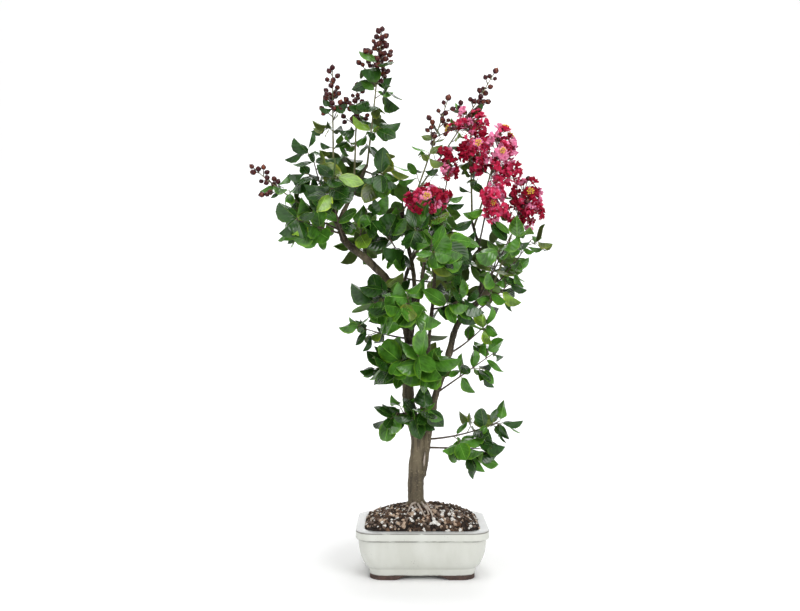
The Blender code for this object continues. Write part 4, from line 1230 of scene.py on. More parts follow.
class BONSAI_OT_bark(bpy.types.Operator):
    """Builds the trunk and the boughs as one skin of bark with relief, and the bare roots over the soil"""

    bl_idname = "bonsai.bark"
    bl_label = "Bark"

    def execute(self, context):
        bark, soil = context.scene.bonsai_bark, context.scene.bonsai_soil
        surface = surface_of(bpy.data.objects["soil_heap"])
        limbs = tubes("limbs", [*limb_lines(), *flare_lines()], 12, [])
        apply(limbs, "REMESH", mode="VOXEL", voxel_size=bark.grain, use_smooth_shade=True)
        apply(limbs, "SMOOTH", factor=0.5, iterations=4)
        for name, (size, share) in BARK_RELIEF.items():
            texture, strength = lumps(name, size), bark.relief * share
            apply(limbs, "DISPLACE", texture=texture, strength=strength, texture_coords="GLOBAL")
        smooth(limbs)
        limbs.data.materials.clear()
        limbs.data.materials.append(bark_finish(bark))
        finished(limbs, "trunk_and_boughs", "bark", *LIMBS)
        scar = (smooth_route(SCAR_ROUTE, 1), SCAR_RADII, 0)
        lines = [*root_lines(soil.roots, surface), scar]
        roots = tubes("bare_roots", lines, 8, [twig_finish("bare_root", bark.bare_root)])
        smooth(roots)
        finished(roots, "bare_roots", "bark", "trunk")
        return {"FINISHED"}


# How the masses grow: the solids' rule, with finer twigs and more leaves in the same reach

STEM_STEPS = 10
STEM_RADII, TWIG_RADII, STALK_RADIUS = (0.0019, 0.0008), (0.0009, 0.0005), 0.00045
TWIG_SHARE, TWIG_SHORTEN = 0.66, 0.40  # a twig's length is a share of the reach, and shortens up the stem
TWIG_TILT, TWIG_LIFT, TWIG_SAG = math.radians(52), 0.2, 0.12
TWIG_LEAVES = (0.38, 0.95)  # the stretch of a twig that bears its pairs of leaves
MORE_YOUNG_TWIGS = 0.25  # how much greater the share of young twigs is than that of young leaves
LEAF_TILT, LEAF_DROOP = math.radians(56), 0.34
LEAF_SIZES = (0.76, 1.16)
TIP_SMALLER = 0.35  # how much smaller leaves are at the tip of a shoot with buds
FACE_UP, FACE_OUT, FACE_WANDER = 0.78, 0.74, 0.55  # how much each counts in the way a leaf faces
# Outwards is mostly to the front or the back: the weight of a leaf's place across the plant, and how far back
# a leaf still faces the front
FLATNESS, FRONT_TO = 0.12, 0.025
LEAVES_TO = 0.4  # how far up the zone of buds or blossoms there are leaves as well
BUD_ZONE, BUDS_ON_SPRIG, SPRIG_TILT = 0.40, 3, math.radians(50)
# A sprig's length low on the shoot and at its tip, as shares of the reach, and its radius at foot and tip
SPRIG_REACH, SPRIG_RADII = (0.90, 0.12), (0.0010, 0.0007)
BUD_STALK, BUD_STEP = 0.0058, 0.0076  # from the sprig to a bud's middle, and between buds along the sprig
BLOSSOM_ZONE, BLOSSOM_ROOM, BLOSSOM_TRIES = 0.55, 0.32, 8
BLOSSOM_UP, STALK_DROP = 0.3, 0.012
BLOSSOM_REACH = 1.25  # how far from its stem a blossom may be, as a share of its mass's reach
NEIGHBOUR_SHARE = 1.25  # how much nearer to its own stem than to another a leaf's middle lies, at least
CUBE = 0.04  # side of the cubes of space that shapes are sorted into

Leaf = namedtuple("Leaf", "root along normal length tint")
Bud = namedtuple("Bud", "place along size")
Blossom = namedtuple("Blossom", "place along size tint open")
Stick = namedtuple("Stick", "route radii young")

DEEP, MIDDLE, OLIVE, LIME = range(4)
# The shares of deep, middle and olive green, for masses whose tips are higher than this and for the others
HIGH_FROM, HIGH_TINTS, LOW_TINTS = 0.60, (9, 3, 1), (4, 7, 1)
CRIMSON, DARK, PINK = range(3)
# Each panicle's clusters: middle and half sizes of each, number of its blossoms and shares of its three tints
Cluster = namedtuple("Cluster", "middle half number tints")
PANICLES = {
    "high_blossom": (
        Cluster((0.121, -0.012, 0.664), (0.023, 0.019, 0.032), 32, (6, 4, 1)),
        Cluster((0.130, -0.004, 0.706), (0.010, 0.010, 0.024), 8, (4, 0, 4)),
        Cluster((0.112, -0.004, 0.723), (0.011, 0.009, 0.012), 4, (1, 0, 5)),
        Cluster((0.096, -0.002, 0.700), (0.013, 0.010, 0.014), 5, (1, 1, 5)),
    ),
    "main_blossom": (
        Cluster((0.164, -0.024, 0.668), (0.023, 0.019, 0.033), 32, (3, 1, 6)),
        Cluster((0.180, -0.020, 0.634), (0.012, 0.012, 0.022), 10, (6, 1, 2)),
    ),
    "column_blossom": (Cluster((0.151, -0.042, 0.594), (0.014, 0.014, 0.047), 30, (7, 1, 3)),),
    "right_blossom": (
        Cluster((0.210, 0.008, 0.602), (0.023, 0.018, 0.021), 22, (3, 7, 1)),
        Cluster((0.187, -0.002, 0.573), (0.018, 0.015, 0.018), 14, (4, 4, 3)),
        Cluster((0.216, 0.004, 0.567), (0.015, 0.014, 0.021), 14, (3, 7, 1)),
    ),
    "slender_shoot": (Cluster((0.077, -0.014, 0.646), (0.018, 0.014, 0.023), 15, (3, 5, 1)),),
    "centre_blossom": (Cluster((0.044, -0.044, 0.587), (0.042, 0.018, 0.019), 27, (5, 4, 3)),),
}

# Blossoms on the outside of a panicle that face the front and show their stamens, by mass: the place of each
OPEN_BLOSSOMS = {
    "high_blossom": ((0.126, -0.036, 0.671),),
    "main_blossom": ((0.162, -0.051, 0.657),),
    "column_blossom": ((0.158, -0.060, 0.567),),
    "centre_blossom": ((0.045, -0.066, 0.585),),
}
OPEN_WAY = Vector((0, -1, 0.25)).normalized()


class Room:
    """Which places are taken, by cubes of space, so that a new shape is tried only against near ones."""

    def __init__(self):
        self.cubes = {}

    def cubes_of(self, points):
        """The cubes that a box round the points touches."""
        lows = [math.floor(min(p[axis] for p in points) / CUBE) for axis in range(3)]
        highs = [math.floor(max(p[axis] for p in points) / CUBE) for axis in range(3)]
        for x in range(lows[0], highs[0] + 1):
            for y in range(lows[1], highs[1] + 1):
                for z in range(lows[2], highs[2] + 1):
                    yield x, y, z

    def free(self, points, faces):
        tree = BVHTree.FromPolygons(points, faces)
        near = (other for cube in self.cubes_of(points) for other in self.cubes.get(cube, ()))
        return not any(tree.overlap(other) for other in near)

    def take(self, points, faces):
        tree = BVHTree.FromPolygons(points, faces)
        for cube in self.cubes_of(points):
            self.cubes.setdefault(cube, []).append(tree)

    def take_tube(self, route, radii):
        """Takes the place of a tube, one three-sided piece of it at a time."""
        for a, b, foot, tip in zip(route, route[1:], radii, radii[1:]):
            along = (b - a).normalized()
            sides = [square_to(along, math.tau * i / 3) for i in range(3)]
            points = [a + side * foot for side in sides] + [b + side * tip for side in sides]
            self.take(points, [(0, 1, 4, 3), (1, 2, 5, 4), (2, 0, 3, 5)])


def leaf_outline(leaf):
    """A leaf's rough shape for trying whether it touches anything: its root, its two sides and its tip."""
    side = leaf.normal.cross(leaf.along) * leaf.length * 0.28
    middle = leaf.root + leaf.along * leaf.length * 0.5 - leaf.normal * leaf.length * 0.03
    tip = leaf.root + leaf.along * leaf.length - leaf.normal * leaf.length * 0.12
    return [leaf.root + leaf.along * 0.001, middle + side, middle - side, tip], [(0, 1, 2), (1, 3, 2)]


BALL_POINTS = ((1, 0, 0), (0, 1, 0), (-1, 0, 0), (0, -1, 0), (0, 0, 1), (0, 0, -1))


def ball_outline(place, radius):
    """An eight-sided ball, for trying whether a bud or blossom touches anything."""
    points = [place + Vector(offset) * radius for offset in BALL_POINTS]
    return points, [(i, (i + 1) % 4, pole) for i in range(4) for pole in (4, 5)]


def in_ball(rnd):
    """A random point in a ball of radius one."""
    point = Vector((1, 1, 1))
    while point.length > 1:
        point = Vector([rnd.uniform(-1, 1) for _ in range(3)])
    return point


def tilted(heading, side, tilt):
    """The heading, turned towards the side by the tilt."""
    return heading * math.cos(tilt) + side * math.sin(tilt)


def stem_route(mass):
    start, _ = station(smooth_route(LIMBS[mass.limb].route), mass.at)
    return bowed_route(start, Vector(mass.tip), mass.sag, STEM_STEPS)


class Growth:
    """Grows every mass: fills sticks, leaves, buds and blossoms, with nothing through anything else."""

    def __init__(self, foliage, flower):
        self.foliage, self.flower = foliage, flower
        self.room = Room()
        self.stems = {name: stem_route(mass) for name, mass in MASSES.items()}
        self.sticks, self.leaves, self.buds, self.blossoms = [], [], [], []
        self.place_limbs_and_stems()
        for name, mass in MASSES.items():
            rnd = random.Random(name)
            if mass.blossoms:
                self.grow_blossoms(name, rnd)
            self.grow_buds(name, mass, rnd)
        for name, mass in MASSES.items():
            self.grow_leaves(name, mass, random.Random(name))

    def place_limbs_and_stems(self):
        """Takes the places of the limbs, and grows each mass's stem."""
        for limb in LIMBS.values():
            route = smooth_route(limb.route)
            self.room.take_tube(route, tapered(limb.foot, limb.tip, len(route)))
        for name, route in self.stems.items():
            radii = tapered(*STEM_RADII, len(route))
            self.sticks.append(Stick(route, radii, MASSES[name].buds > 0))
            self.room.take_tube(route, radii)

    def holds(self, name, point):
        """Whether the point is in this mass's own space."""

        def nearness(other):
            return (point - nearest_on(self.stems[other], point)).length / MASSES[other].reach

        own = nearness(name)
        return own < 1 and all(own < nearness(other) * NEIGHBOUR_SHARE for other in MASSES if other != name)

    def stick(self, foot, tip, radii, young):
        """A straight stalk or sprig, which other shapes may touch."""
        self.sticks.append(Stick([foot, tip], radii, young))

    def grow_blossoms(self, name, rnd):
        """The open blossoms in front, then those of each cluster, facing out of it."""
        for place in OPEN_BLOSSOMS.get(name, ()):
            self.try_blossom(name, Vector(place), OPEN_WAY, PINK, True, rnd)
        for cluster in PANICLES[name]:
            left = round(cluster.number * self.flower.blossom_factor)
            for _ in range(left * BLOSSOM_TRIES):
                offset = in_ball(rnd)
                place = Vector(cluster.middle) + Vector(cluster.half) * offset
                tint = rnd.choices((CRIMSON, DARK, PINK), cluster.tints)[0]
                if left and self.try_blossom(name, place, offset + UP * BLOSSOM_UP, tint, False, rnd):
                    left -= 1

    def try_blossom(self, name, place, way, tint, is_open, rnd):
        """Grows a blossom here, facing this way, unless it is far from its stem or would touch something."""
        foot = nearest_on(self.stems[name], place - UP * STALK_DROP)
        size = self.flower.blossom_radius * rnd.uniform(0.8, 1.15)
        outline = ball_outline(place, size * BLOSSOM_ROOM)
        if (place - foot).length > MASSES[name].reach * BLOSSOM_REACH or not self.room.free(*outline):
            return False
        self.room.take(*outline)
        self.blossoms.append(Blossom(place, way.normalized(), size, tint, is_open))
        self.stick(foot, place, (STALK_RADIUS, STALK_RADIUS), True)
        return True

    def grow_buds(self, name, mass, rnd):
        """Short sprigs up the last of the shoot, each with buds at its tip and to either side below it."""
        number = math.ceil(mass.buds * self.flower.bud_factor / BUDS_ON_SPRIG)
        stem = self.stems[name]
        for i in range(number):
            along = i / number
            foot, heading = station(stem, 1 - BUD_ZONE * along)
            side = square_to(heading, i * GOLDEN_ANGLE)
            away = tilted(heading, side, SPRIG_TILT if i else 0)
            reach = mass.reach * (SPRIG_REACH[1] + (SPRIG_REACH[0] - SPRIG_REACH[1]) * along)
            tip = foot + away * reach * rnd.uniform(0.6, 1.35)
            self.stick(foot, tip, SPRIG_RADII, False)
            self.bud(tip, tip + away * BUD_STALK * 0.5, rnd)
            for below in range(1, BUDS_ON_SPRIG):
                branch = tip - away * BUD_STEP * below
                if (branch - foot).dot(away) > 0:
                    out = (away * 0.5 + square_to(away, i + math.pi * below)).normalized()
                    self.bud(branch, branch + out * BUD_STALK * rnd.uniform(0.9, 1.3), rnd)

    def bud(self, foot, place, rnd):
        """A bud on its stalk, unless it would touch something."""
        size = self.flower.bud_radius * rnd.uniform(0.78, 1.1)
        outline = ball_outline(place, size)
        if self.room.free(*outline):
            self.room.take(*outline)
            self.buds.append(Bud(place, (place - foot).normalized(), size))
            self.stick(foot, place, (SPRIG_RADII[1], SPRIG_RADII[1]), False)

    def grow_leaves(self, name, mass, rnd):
        """Pairs of leaves up the stem and on side twigs, each spray of one tint."""
        stem = self.stems[name]
        flowering = max(BUD_ZONE if mass.buds else 0, BLOSSOM_ZONE if mass.blossoms else 0)
        leafy_to = 1 - flowering * (1 - LEAVES_TO)
        pairs = max(2, round(route_length(stem) * (leafy_to - mass.bare) / self.foliage.pair_step))
        self.leaf_pairs(name, stem, (mass.bare, leafy_to), pairs, rnd, False)
        if not flowering:
            foot, heading = station(stem, 1)
            self.try_leaf(name, foot, heading, rnd.uniform(0, math.tau), rnd, self.tint(mass, 1, rnd))
        number = mass.twigs + self.foliage.more_twigs
        turn = rnd.uniform(0, math.tau)
        for i in range(number):
            along = mass.bare + (leafy_to - mass.bare) * (i + 0.5) / number
            foot, heading = station(stem, along)
            side = square_to(heading, turn + i * GOLDEN_ANGLE)
            way = (tilted(heading, side, TWIG_TILT) + UP * TWIG_LIFT).normalized()
            reach = mass.reach * TWIG_SHARE * (1 - TWIG_SHORTEN * along) * rnd.uniform(0.8, 1.2)
            tip = foot + way * reach
            if self.holds(name, tip):
                self.grow_twig(name, foot, tip, along, rnd)

    def grow_twig(self, name, foot, tip, along, rnd):
        """A side twig with its pairs of leaves and one at its end."""
        mass = MASSES[name]
        young = rnd.random() < mass.young + MORE_YOUNG_TWIGS
        route = bowed_route(foot, tip, TWIG_SAG, 4)
        radii = tapered(*TWIG_RADII, len(route))
        self.sticks.append(Stick(route, radii, young))
        self.room.take_tube(route, radii)
        self.leaf_pairs(name, route, TWIG_LEAVES, self.foliage.twig_pairs, rnd, True)
        end, heading = station(route, 1)
        self.try_leaf(name, end, heading, rnd.uniform(0, math.tau), rnd, self.tint(mass, along, rnd))

    def leaf_pairs(self, name, route, span, pairs, rnd, one_tint):
        """Leaves in nearly opposite pairs, each pair turned a quarter from the last."""
        turn = rnd.uniform(0, math.tau)
        tint = self.tint(MASSES[name], 0.5, rnd)
        for i in range(pairs):
            along = span[0] + (span[1] - span[0]) * (i + 0.5) / pairs
            if not one_tint:
                tint = self.tint(MASSES[name], along, rnd)
            for side in (turn, turn + math.pi):
                foot, heading = station(route, along + rnd.uniform(-0.02, 0.02))
                share = 1 - TIP_SMALLER * along if MASSES[name].buds and not one_tint else 1
                self.try_leaf(name, foot, heading, side + rnd.uniform(-0.35, 0.35), rnd, tint, share)
            turn += math.pi / 2

    def tint(self, mass, along, rnd):
        """Lime for young leaves, most of them near the tip, and otherwise one of the greens."""
        if rnd.random() < mass.young * (0.4 + 1.2 * along):
            return LIME
        return rnd.choices((DEEP, MIDDLE, OLIVE), HIGH_TINTS if mass.tip[2] > HIGH_FROM else LOW_TINTS)[0]

    def try_leaf(self, name, foot, heading, turn, rnd, tint, share=1):
        """Grows a leaf at a tilt to its twig, face up and outwards, unless it would touch something."""
        droop = UP * LEAF_DROOP * rnd.uniform(0, 2)
        along = (tilted(heading, square_to(heading, turn), LEAF_TILT) - droop).normalized()
        outwards = Vector((foot.x * FLATNESS, foot.y - FRONT_TO, 0)).normalized()
        wander = Vector([rnd.uniform(-1, 1) for _ in range(3)])
        face = UP * FACE_UP + outwards * FACE_OUT + wander * FACE_WANDER
        normal = (face - along * face.dot(along)).normalized()
        size = MASSES[name].leaf * self.foliage.leaf_scale * share * rnd.uniform(*LEAF_SIZES)
        root = foot + along * self.foliage.leaf_stalk
        leaf = Leaf(root, along, normal, size, tint)
        outline = leaf_outline(leaf)
        if self.holds(name, root + along * size / 2) and self.room.free(*outline):
            self.room.take(*outline)
            self.leaves.append(leaf)
            self.stick(foot, root + along * 0.0012, (STALK_RADIUS, STALK_RADIUS * 1.2), True)


def growth(context):
    """The whole growth, the same each time, so that each of its pieces can be built on its own."""
    return Growth(context.scene.bonsai_foliage, context.scene.bonsai_flower)


class BONSAI_OT_shoots(bpy.types.Operator):
    """Builds the stems, the twigs and the stalks of leaves, buds and blossoms"""

    bl_idname = "bonsai.shoots"
    bl_label = "Shoots"

    def execute(self, context):
        foliage = context.scene.bonsai_foliage
        lines = [(stick.route, stick.radii, int(stick.young)) for stick in growth(context).sticks]
        finishes = [twig_finish("old_wood", foliage.old_wood), twig_finish("new_wood", foliage.new_wood)]
        shoots = tubes("shoots", lines, 6, finishes)
        smooth(shoots)
        finished(shoots, "shoots", "foliage", *MASSES)
        return {"FINISHED"}


# Leaves

LEAF_COLUMNS = 3
# Place of each row of points along the leaf, and its width as a share
LEAF_ROWS = (
    (0.0, 0.06),
    (0.08, 0.46),
    (0.24, 0.86),
    (0.45, 1.0),
    (0.65, 0.90),
    (0.82, 0.58),
    (0.93, 0.25),
    (1.0, 0.02),
)
RIB_SHARE, LEAF_THICK = 0.11, 0.012
LEAF_ANGLE = math.radians(50)  # between faces of a leaf, past which an edge stays sharp
LeafForm = namedtuple("LeafForm", "width sag fold twist wave")
# The slender forms first, then the round ones that the large leaves have
LEAF_FORMS = (
    LeafForm(0.48, 0.55, 0.22, 0.15, 0.03),
    LeafForm(0.54, 0.25, 0.30, -0.20, 0.05),
    LeafForm(0.58, 0.80, 0.16, 0.30, 0.04),
    LeafForm(0.66, 0.40, 0.14, -0.10, 0.05),
    LeafForm(0.72, 0.15, 0.24, 0.20, 0.04),
    LeafForm(0.76, 0.90, 0.12, -0.25, 0.03),
)
SLENDER_FORMS, ROUND_FROM = 3, 0.036  # how many are slender, and how long a leaf is to be round
FACE, RIB, BACK = range(3)
# A leaf's rib and its back against its face: how bright, and what is added to its red, green and blue
RIB_TONE, BACK_TONE = (1.5, (0.050, 0.060, 0.010)), (0.9, (0.048, 0.046, 0.010))


def rows_shaped(blade, rows):
    """Moves each row of points across a blade of unit length to its place, and gives it its width."""
    for number, (along, width) in enumerate(rows):
        x = number / (len(rows) - 1)
        pick(blade, "VERT", lambda v: abs(v.co.x - x) < 0.02)
        bpy.ops.transform.resize(value=(1, width, width), center_override=(x, 0, 0))
        bpy.ops.transform.translate(value=(along - x, 0, 0))


def leaf_template(number, form):
    """A leaf one unit long, along +X, facing +Z: folded at its rib, arched, twisted and a little wavy."""
    bpy.ops.mesh.primitive_grid_add(
        x_subdivisions=len(LEAF_ROWS) - 1, y_subdivisions=LEAF_COLUMNS, size=1, location=(0.5, 0, 0)
    )
    bpy.ops.object.transform_apply(location=True)
    leaf = started(f"leaf_{number}")
    pick(leaf, "VERT", lambda v: abs(v.co.y) < 0.2)
    bpy.ops.transform.resize(value=(1, RIB_SHARE, 1), center_override=(0.5, 0, 0))
    pick(leaf, "VERT", lambda v: abs(v.co.y) > 0.4)
    bpy.ops.transform.translate(value=(0, 0, form.fold / 2))
    rows_shaped(leaf, [(along, form.width * width) for along, width in LEAF_ROWS])
    leave_edit_mode()
    numbered(leaf, 3, lambda face: RIB if abs(face.center.y) < 1e-4 else FACE)
    apply(leaf, "SIMPLE_DEFORM", deform_method="BEND", deform_axis="Y", angle=form.sag)
    apply(leaf, "SIMPLE_DEFORM", deform_method="TWIST", deform_axis="X", angle=form.twist)
    waves = lumps(f"leaf_waves_{number}", 0.30 + 0.03 * number)
    apply(leaf, "DISPLACE", texture=waves, strength=form.wave, direction="Z", texture_coords="LOCAL")
    apply(leaf, "SOLIDIFY", thickness=LEAF_THICK, offset=-1, material_offset=BACK, material_offset_rim=RIB)
    return leaf


def toned(green, brightness, more):
    return [c * brightness + extra for c, extra in zip(green, more)]


class BONSAI_OT_leaves(bpy.types.Operator):
    """Builds all the leaves, dealt out by spray in four greens"""

    bl_idname = "bonsai.leaves"
    bl_label = "Leaves"

    def execute(self, context):
        rnd = random.Random("leaves")
        forms = [leaf_template(i, form) for i, form in enumerate(LEAF_FORMS)]
        finishes = []
        for name in ("deep_green", "middle_green", "olive_green", "lime_green"):
            green = getattr(context.scene.bonsai_foliage, name)
            finishes.append(leaf_face_finish(name, green))
            finishes.append(leaf_rib_finish(name + "_rib", toned(green, *RIB_TONE)))
            finishes.append(leaf_back_finish(name + "_back", toned(green, *BACK_TONE)))
        places = []
        for leaf in growth(context).leaves:
            turned = facing(leaf.along, leaf.normal)
            matrix = Matrix.Translation(leaf.root) @ turned @ Matrix.Scale(leaf.length, 4)
            form = rnd.randrange(SLENDER_FORMS)
            if leaf.length > ROUND_FROM:
                form = rnd.randrange(SLENDER_FORMS, len(forms))
            places.append((form, matrix, 3 * leaf.tint))
        middle = len(places) // 2
        for name, part in (("leaves_one", places[:middle]), ("leaves_two", places[middle:])):
            finished(copies(name, forms, part, finishes, LEAF_ANGLE), name, "foliage", *MASSES)
        remove(forms)
        return {"FINISHED"}


# Buds and blossom

BUD_SIDES, BUD_SEAM, BUD_POINT = 12, 0.87, 0.28  # every other side is drawn in to a seam; the point's height


def bud_template():
    """A round bud one unit in radius, with six seams and a small point."""
    bpy.ops.mesh.primitive_uv_sphere_add(segments=BUD_SIDES, ring_count=6, radius=1)
    bud = started("bud")

    def on_seam(v):
        side = round(math.degrees(math.atan2(v.co.y, v.co.x)) / (360 / BUD_SIDES))
        return side % 2 and abs(v.co.z) < 0.95

    pick(bud, "VERT", on_seam)
    bpy.ops.transform.resize(value=(BUD_SEAM, BUD_SEAM, 1), center_override=(0, 0, 0))
    pick(bud, "VERT", lambda v: v.co.z > 0.98)
    bpy.ops.transform.translate(value=(0, 0, BUD_POINT))
    leave_edit_mode()
    return bud


PETAL_COLUMNS = 4
# Place of each row of points along the petal, and its width: a thread-like claw, then a frilled blade
PETAL_ROWS = ((0.0, 0.05), (0.28, 0.09), (0.46, 0.56), (0.75, 0.86), (1.0, 0.64))
PETAL_CRIMP, PETAL_FRILL = 0.20, 0.13  # how far its points stand off the blade, and how deep its edge is cut
PETAL_RUFFLES, PETAL_THICK = ((0.55, 0.42), (0.24, 0.20)), 0.022  # each ruffle's size and height; thickness
PETAL_EDGE_OUT, PETAL_EDGE_SIDE = 0.85, 0.3  # how far out and to the side the colour of the edge begins
PETAL_FORMS, PETALS = 6, 6
PETAL_RISE, PETAL_ROLL = (math.radians(-5), math.radians(62)), math.radians(55)
PETAL_FINISHES = 2  # for each tint: the middle of a petal and its edge
CALYX_SHARE = 0.20  # a calyx's radius
TUFT_SHARE, STAMENS = 0.03, 12  # the share of the other blossoms that show a tuft too, and its stamens
STAMEN_LENGTH, STAMEN_RADII = 0.8, (0.03, 0.02)
STAMEN_LEAN = (6, 32)  # how far the first leans out and how much more the last does, in degrees
HEAD_AT, HEAD_RADIUS = 0.82, 0.125  # where along a stamen its head is
CALYX, TUFT = PETAL_FORMS, PETAL_FORMS + 1  # the templates that follow the petals
CALYX_FINISH, TUFT_FINISH = 3 * PETAL_FINISHES, 3 * PETAL_FINISHES + 1  # the finishes that follow the petals'


def petal_template(number):
    """One petal, one unit long, along +X: crimped all over and frilled at its edge."""
    rows = len(PETAL_ROWS) - 1
    bpy.ops.mesh.primitive_grid_add(
        x_subdivisions=rows, y_subdivisions=PETAL_COLUMNS, size=1, location=(0.5, 0, 0)
    )
    bpy.ops.object.transform_apply(location=True)
    petal = started(f"petal_{number}")

    def odd(v):
        return round(v.co.x * rows + (v.co.y + 0.5) * PETAL_COLUMNS + number) % 2

    pick(petal, "VERT", odd)
    bpy.ops.transform.translate(value=(0, 0, PETAL_CRIMP))
    rows_shaped(petal, PETAL_ROWS)
    pick(petal, "VERT", lambda v: v.co.x > 0.95 and v.co.z > 0.01)
    bpy.ops.transform.translate(value=(-PETAL_FRILL, 0, 0))
    leave_edit_mode()

    def at_edge(face):
        return int(face.center.x > PETAL_EDGE_OUT or abs(face.center.y) > PETAL_EDGE_SIDE)

    numbered(petal, 2, at_edge)
    for size, strength in PETAL_RUFFLES:
        ruffles = lumps(f"ruffles_{number}_{size}", size + 0.04 * number)
        apply(petal, "DISPLACE", texture=ruffles, strength=strength, direction="Z", texture_coords="LOCAL")
    apply(petal, "SIMPLE_DEFORM", deform_method="BEND", deform_axis="Y", angle=0.25 * number - 0.5)
    apply(petal, "SOLIDIFY", thickness=PETAL_THICK, offset=0)
    return petal


def calyx_template():
    bpy.ops.mesh.primitive_uv_sphere_add(segments=6, ring_count=4, radius=CALYX_SHARE)
    calyx = started("calyx")
    leave_edit_mode()
    return calyx


def tuft_template():
    """Stamens: bare threads that lean out from the middle, each with a round head."""
    tuft = []
    foot_radius, tip_radius = STAMEN_RADII
    for i in range(STAMENS):
        lean = math.radians(STAMEN_LEAN[0] + STAMEN_LEAN[1] * (i / STAMENS) ** 0.5)
        way = Matrix.Rotation(i * GOLDEN_ANGLE, 4, "Z") @ Matrix.Rotation(lean, 4, "Y")
        middle = (0, 0, STAMEN_LENGTH / 2)
        bpy.ops.mesh.primitive_cone_add(
            vertices=3, radius1=foot_radius, radius2=tip_radius, depth=STAMEN_LENGTH, location=middle
        )
        bpy.ops.object.transform_apply(location=True)
        thread = bpy.context.object
        thread.matrix_world = way
        head = way @ Vector((0, 0, HEAD_AT))
        bpy.ops.mesh.primitive_ico_sphere_add(subdivisions=1, radius=HEAD_RADIUS, location=head)
        tuft += [thread, bpy.context.object]
    made = joined(tuft)
    bpy.ops.object.transform_apply(location=True, rotation=True, scale=True)
    return numbered(made, 2, lambda face: int(face.center.length > HEAD_AT - 2 * HEAD_RADIUS))


def blossom_places(blossom, rnd):
    """Places for one blossom's calyx and petals, and in some blossoms for a tuft of stamens."""
    turned = UP.rotation_difference(blossom.along).to_matrix().to_4x4()
    base = Matrix.Translation(blossom.place) @ turned @ Matrix.Rotation(rnd.uniform(0, math.tau), 4, "Z")
    sized = Matrix.Scale(blossom.size, 4)
    places = [(CALYX, base @ sized, CALYX_FINISH)]
    for i in range(PETALS):
        turn = Matrix.Rotation(math.tau * (i + rnd.uniform(-0.25, 0.25)) / PETALS, 4, "Z")
        rise = Matrix.Rotation(-rnd.uniform(*PETAL_RISE), 4, "Y")
        roll = Matrix.Rotation(rnd.uniform(-PETAL_ROLL, PETAL_ROLL), 4, "X")
        matrix = base @ turn @ rise @ roll @ sized
        places.append((rnd.randrange(PETAL_FORMS), matrix, PETAL_FINISHES * blossom.tint))
    if blossom.open or rnd.random() < TUFT_SHARE:
        places.append((TUFT, base @ sized, TUFT_FINISH))
    return places


class BONSAI_OT_buds(bpy.types.Operator):
    """Builds the buds at the ends of the shoots"""

    bl_idname = "bonsai.buds"
    bl_label = "Buds"

    def execute(self, context):
        template = bud_template()
        places = []
        for bud in growth(context).buds:
            turned = UP.rotation_difference(bud.along).to_matrix().to_4x4()
            matrix = Matrix.Translation(bud.place) @ turned @ Matrix.Scale(bud.size, 4)
            places.append((0, matrix, 0))
        buds = copies("buds", [template], places, [bud_finish(context.scene.bonsai_flower)])
        finished(buds, "buds", "foliage", *MASSES)
        remove([template])
        return {"FINISHED"}


class BONSAI_OT_blossom(bpy.types.Operator):
    """Builds the blossom, petal by petal, in three tints"""

    bl_idname = "bonsai.blossom"
    bl_label = "Blossom"

    def execute(self, context):
        flower = context.scene.bonsai_flower
        templates = [*(petal_template(i) for i in range(PETAL_FORMS)), calyx_template(), tuft_template()]
        finishes = []
        for name, tint, edge in (
            ("crimson", flower.crimson, flower.pink),
            ("dark_crimson", flower.dark_crimson, flower.crimson),
            ("pink", flower.pink, flower.pale_pink),
        ):
            between = [(a + b) / 2 for a, b in zip(tint, edge)]
            finishes.append(petal_finish(name + "_petal", tint, edge))
            finishes.append(petal_finish(name + "_edge", between, edge))
        finishes.append(twig_finish("calyx", flower.dark_crimson))
        finishes.append(petal_finish("thread", flower.pink, flower.pale_pink))
        finishes.append(stamen_finish(flower))
        rnd = random.Random("blossom")
        places = []
        for blossom in growth(context).blossoms:
            places += blossom_places(blossom, rnd)
        finished(copies("blossom", templates, places, finishes), "blossom", "blossom", *MASSES)
        remove(templates)
        return {"FINISHED"}


# The stage

CAMERA_X = 0.005
FLOOR_HALF, FLOOR_BACK, BACKDROP_HEIGHT, BACKDROP_BEND = 4.0, 3.0, 4.5, 1.2

# Each round lamp: the setting of its power, its diameter, its place, where it aims, and how wide its beam is
Lamp = namedtuple("Lamp", "power size place aim beam", defaults=(math.pi,))
LAMPS = {
    "key_light": Lamp("key_power", 1.3, (1.2, -1.9, 1.5), (0.0, 0.0, 0.45)),
    "fill_light": Lamp("fill_power", 1.6, (-1.5, -1.6, 1.1), (0.0, 0.0, 0.40)),
    "top_light": Lamp("top_power", 3.0, (0.0, -0.4, 3.2), (0.0, 0.0, 0.0)),
    "rim_light": Lamp("rim_power", 1.4, (0.3, 1.6, 2.0), (0.0, 0.0, 0.50)),
    "backdrop_light": Lamp("backdrop_power", 3.0, (0.0, 0.9, 3.8), (0.0, 3.0, 1.4), math.radians(115)),
}


def photo_camera(stage):
    """A level camera in front of the plant."""
    data = bpy.data.cameras.new("photo_camera")
    data.lens = stage.focal_length
    camera = bpy.data.objects.new("photo_camera", data)
    camera.location = (CAMERA_X, -stage.distance, stage.eye_height)
    camera.rotation_euler = (math.pi / 2, 0, 0)
    bpy.context.scene.collection.objects.link(camera)
    bpy.context.scene.camera = camera


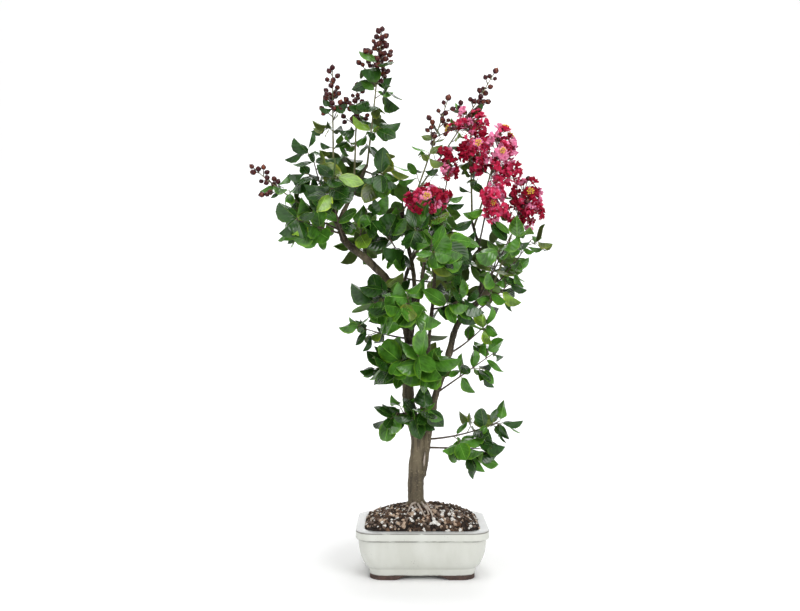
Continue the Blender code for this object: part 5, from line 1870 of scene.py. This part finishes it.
def studio_floor():
    """A wide floor that bends up at its back into a backdrop."""
    bpy.ops.mesh.primitive_plane_add(size=2 * FLOOR_HALF, location=(0, FLOOR_BACK - FLOOR_HALF, 0))
    bpy.ops.object.transform_apply(location=True)
    floor = started("floor")
    pick(floor, "EDGE", lambda e: all(v.co.y > FLOOR_BACK - 0.01 for v in e.verts))
    bpy.ops.mesh.extrude_region_move(TRANSFORM_OT_translate={"value": (0, 0, BACKDROP_HEIGHT)})
    pick(floor, "EDGE", lambda e: all(v.co.y > FLOOR_BACK - 0.01 and v.co.z < 0.01 for v in e.verts))
    bpy.ops.mesh.bevel(offset=BACKDROP_BEND, segments=12, affect="EDGES")
    leave_edit_mode()
    smooth(floor)
    return floor


def soft_light(name, lamp, watts):
    """A round lamp that shines evenly from its whole face."""
    data = bpy.data.lights.new(name, "AREA")
    data.shape = "DISK"
    data.energy = watts
    data.size = lamp.size
    data.spread = lamp.beam
    light = bpy.data.objects.new(name, data)
    light.location = lamp.place
    light.rotation_euler = (Vector(lamp.aim) - Vector(lamp.place)).to_track_quat("-Z", "Y").to_euler()
    bpy.context.scene.collection.objects.link(light)


def even_sky(scene, strength):
    """White light of this strength from all round."""
    scene.world = scene.world or bpy.data.worlds.new("studio")
    scene.world.use_nodes = True
    background = scene.world.node_tree.nodes["Background"]
    background.inputs["Color"].default_value = (1, 1, 1, 1)
    background.inputs["Strength"].default_value = strength


class BONSAI_OT_stage(bpy.types.Operator):
    """Sets up the camera, the pale floor that bends up into a backdrop, and soft light"""

    bl_idname = "bonsai.stage"
    bl_label = "Stage"

    def execute(self, context):
        stage = context.scene.bonsai_stage
        photo_camera(stage)
        floor = studio_floor()
        floor.data.materials.append(floor_finish(stage))
        for name, lamp in LAMPS.items():
            soft_light(name, lamp, getattr(stage, lamp.power))
        even_sky(context.scene, stage.sky)
        context.scene.view_settings.view_transform = "Standard"
        return {"FINISHED"}


# What the panel lists

SETTINGS = {
    "pot": PotSettings,
    "soil": SoilSettings,
    "bark": BarkSettings,
    "foliage": FoliageSettings,
    "flower": FlowerSettings,
    "stage": StageSettings,
}

OPERATORS = (
    BONSAI_OT_stage,
    BONSAI_OT_pot,
    BONSAI_OT_soil,
    BONSAI_OT_bark,
    BONSAI_OT_shoots,
    BONSAI_OT_leaves,
    BONSAI_OT_buds,
    BONSAI_OT_blossom,
)


class BONSAI_PT_panel(bpy.types.Panel):
    """Lists the pieces of the bonsai, with a button for each"""

    bl_idname = "BONSAI_PT_panel"
    bl_label = "Crape myrtle bonsai"
    bl_space_type = "VIEW_3D"
    bl_region_type = "UI"
    bl_category = "Bonsai"

    def draw(self, context):
        for operator in OPERATORS:
            self.layout.operator(operator.bl_idname)
        for name in SETTINGS:
            settings = getattr(context.scene, "bonsai_" + name)
            for key in settings.bl_rna.properties.keys():
                if key not in ("rna_type", "name"):
                    self.layout.prop(settings, key)


def register():
    for each in (*SETTINGS.values(), *OPERATORS, BONSAI_PT_panel):
        bpy.utils.register_class(each)
    for name, settings in SETTINGS.items():
        setattr(bpy.types.Scene, "bonsai_" + name, bpy.props.PointerProperty(type=settings))


def unregister():
    for name in SETTINGS:
        delattr(bpy.types.Scene, "bonsai_" + name)
    for each in (BONSAI_PT_panel, *reversed(OPERATORS), *reversed(tuple(SETTINGS.values()))):
        bpy.utils.unregister_class(each)


def main():
    register()
    bpy.ops.bonsai.stage()
    bpy.ops.bonsai.pot()
    bpy.ops.bonsai.soil()
    bpy.ops.bonsai.bark()
    bpy.ops.bonsai.shoots()
    bpy.ops.bonsai.leaves()
    bpy.ops.bonsai.buds()
    bpy.ops.bonsai.blossom()


if __name__ == "__main__":
    main()
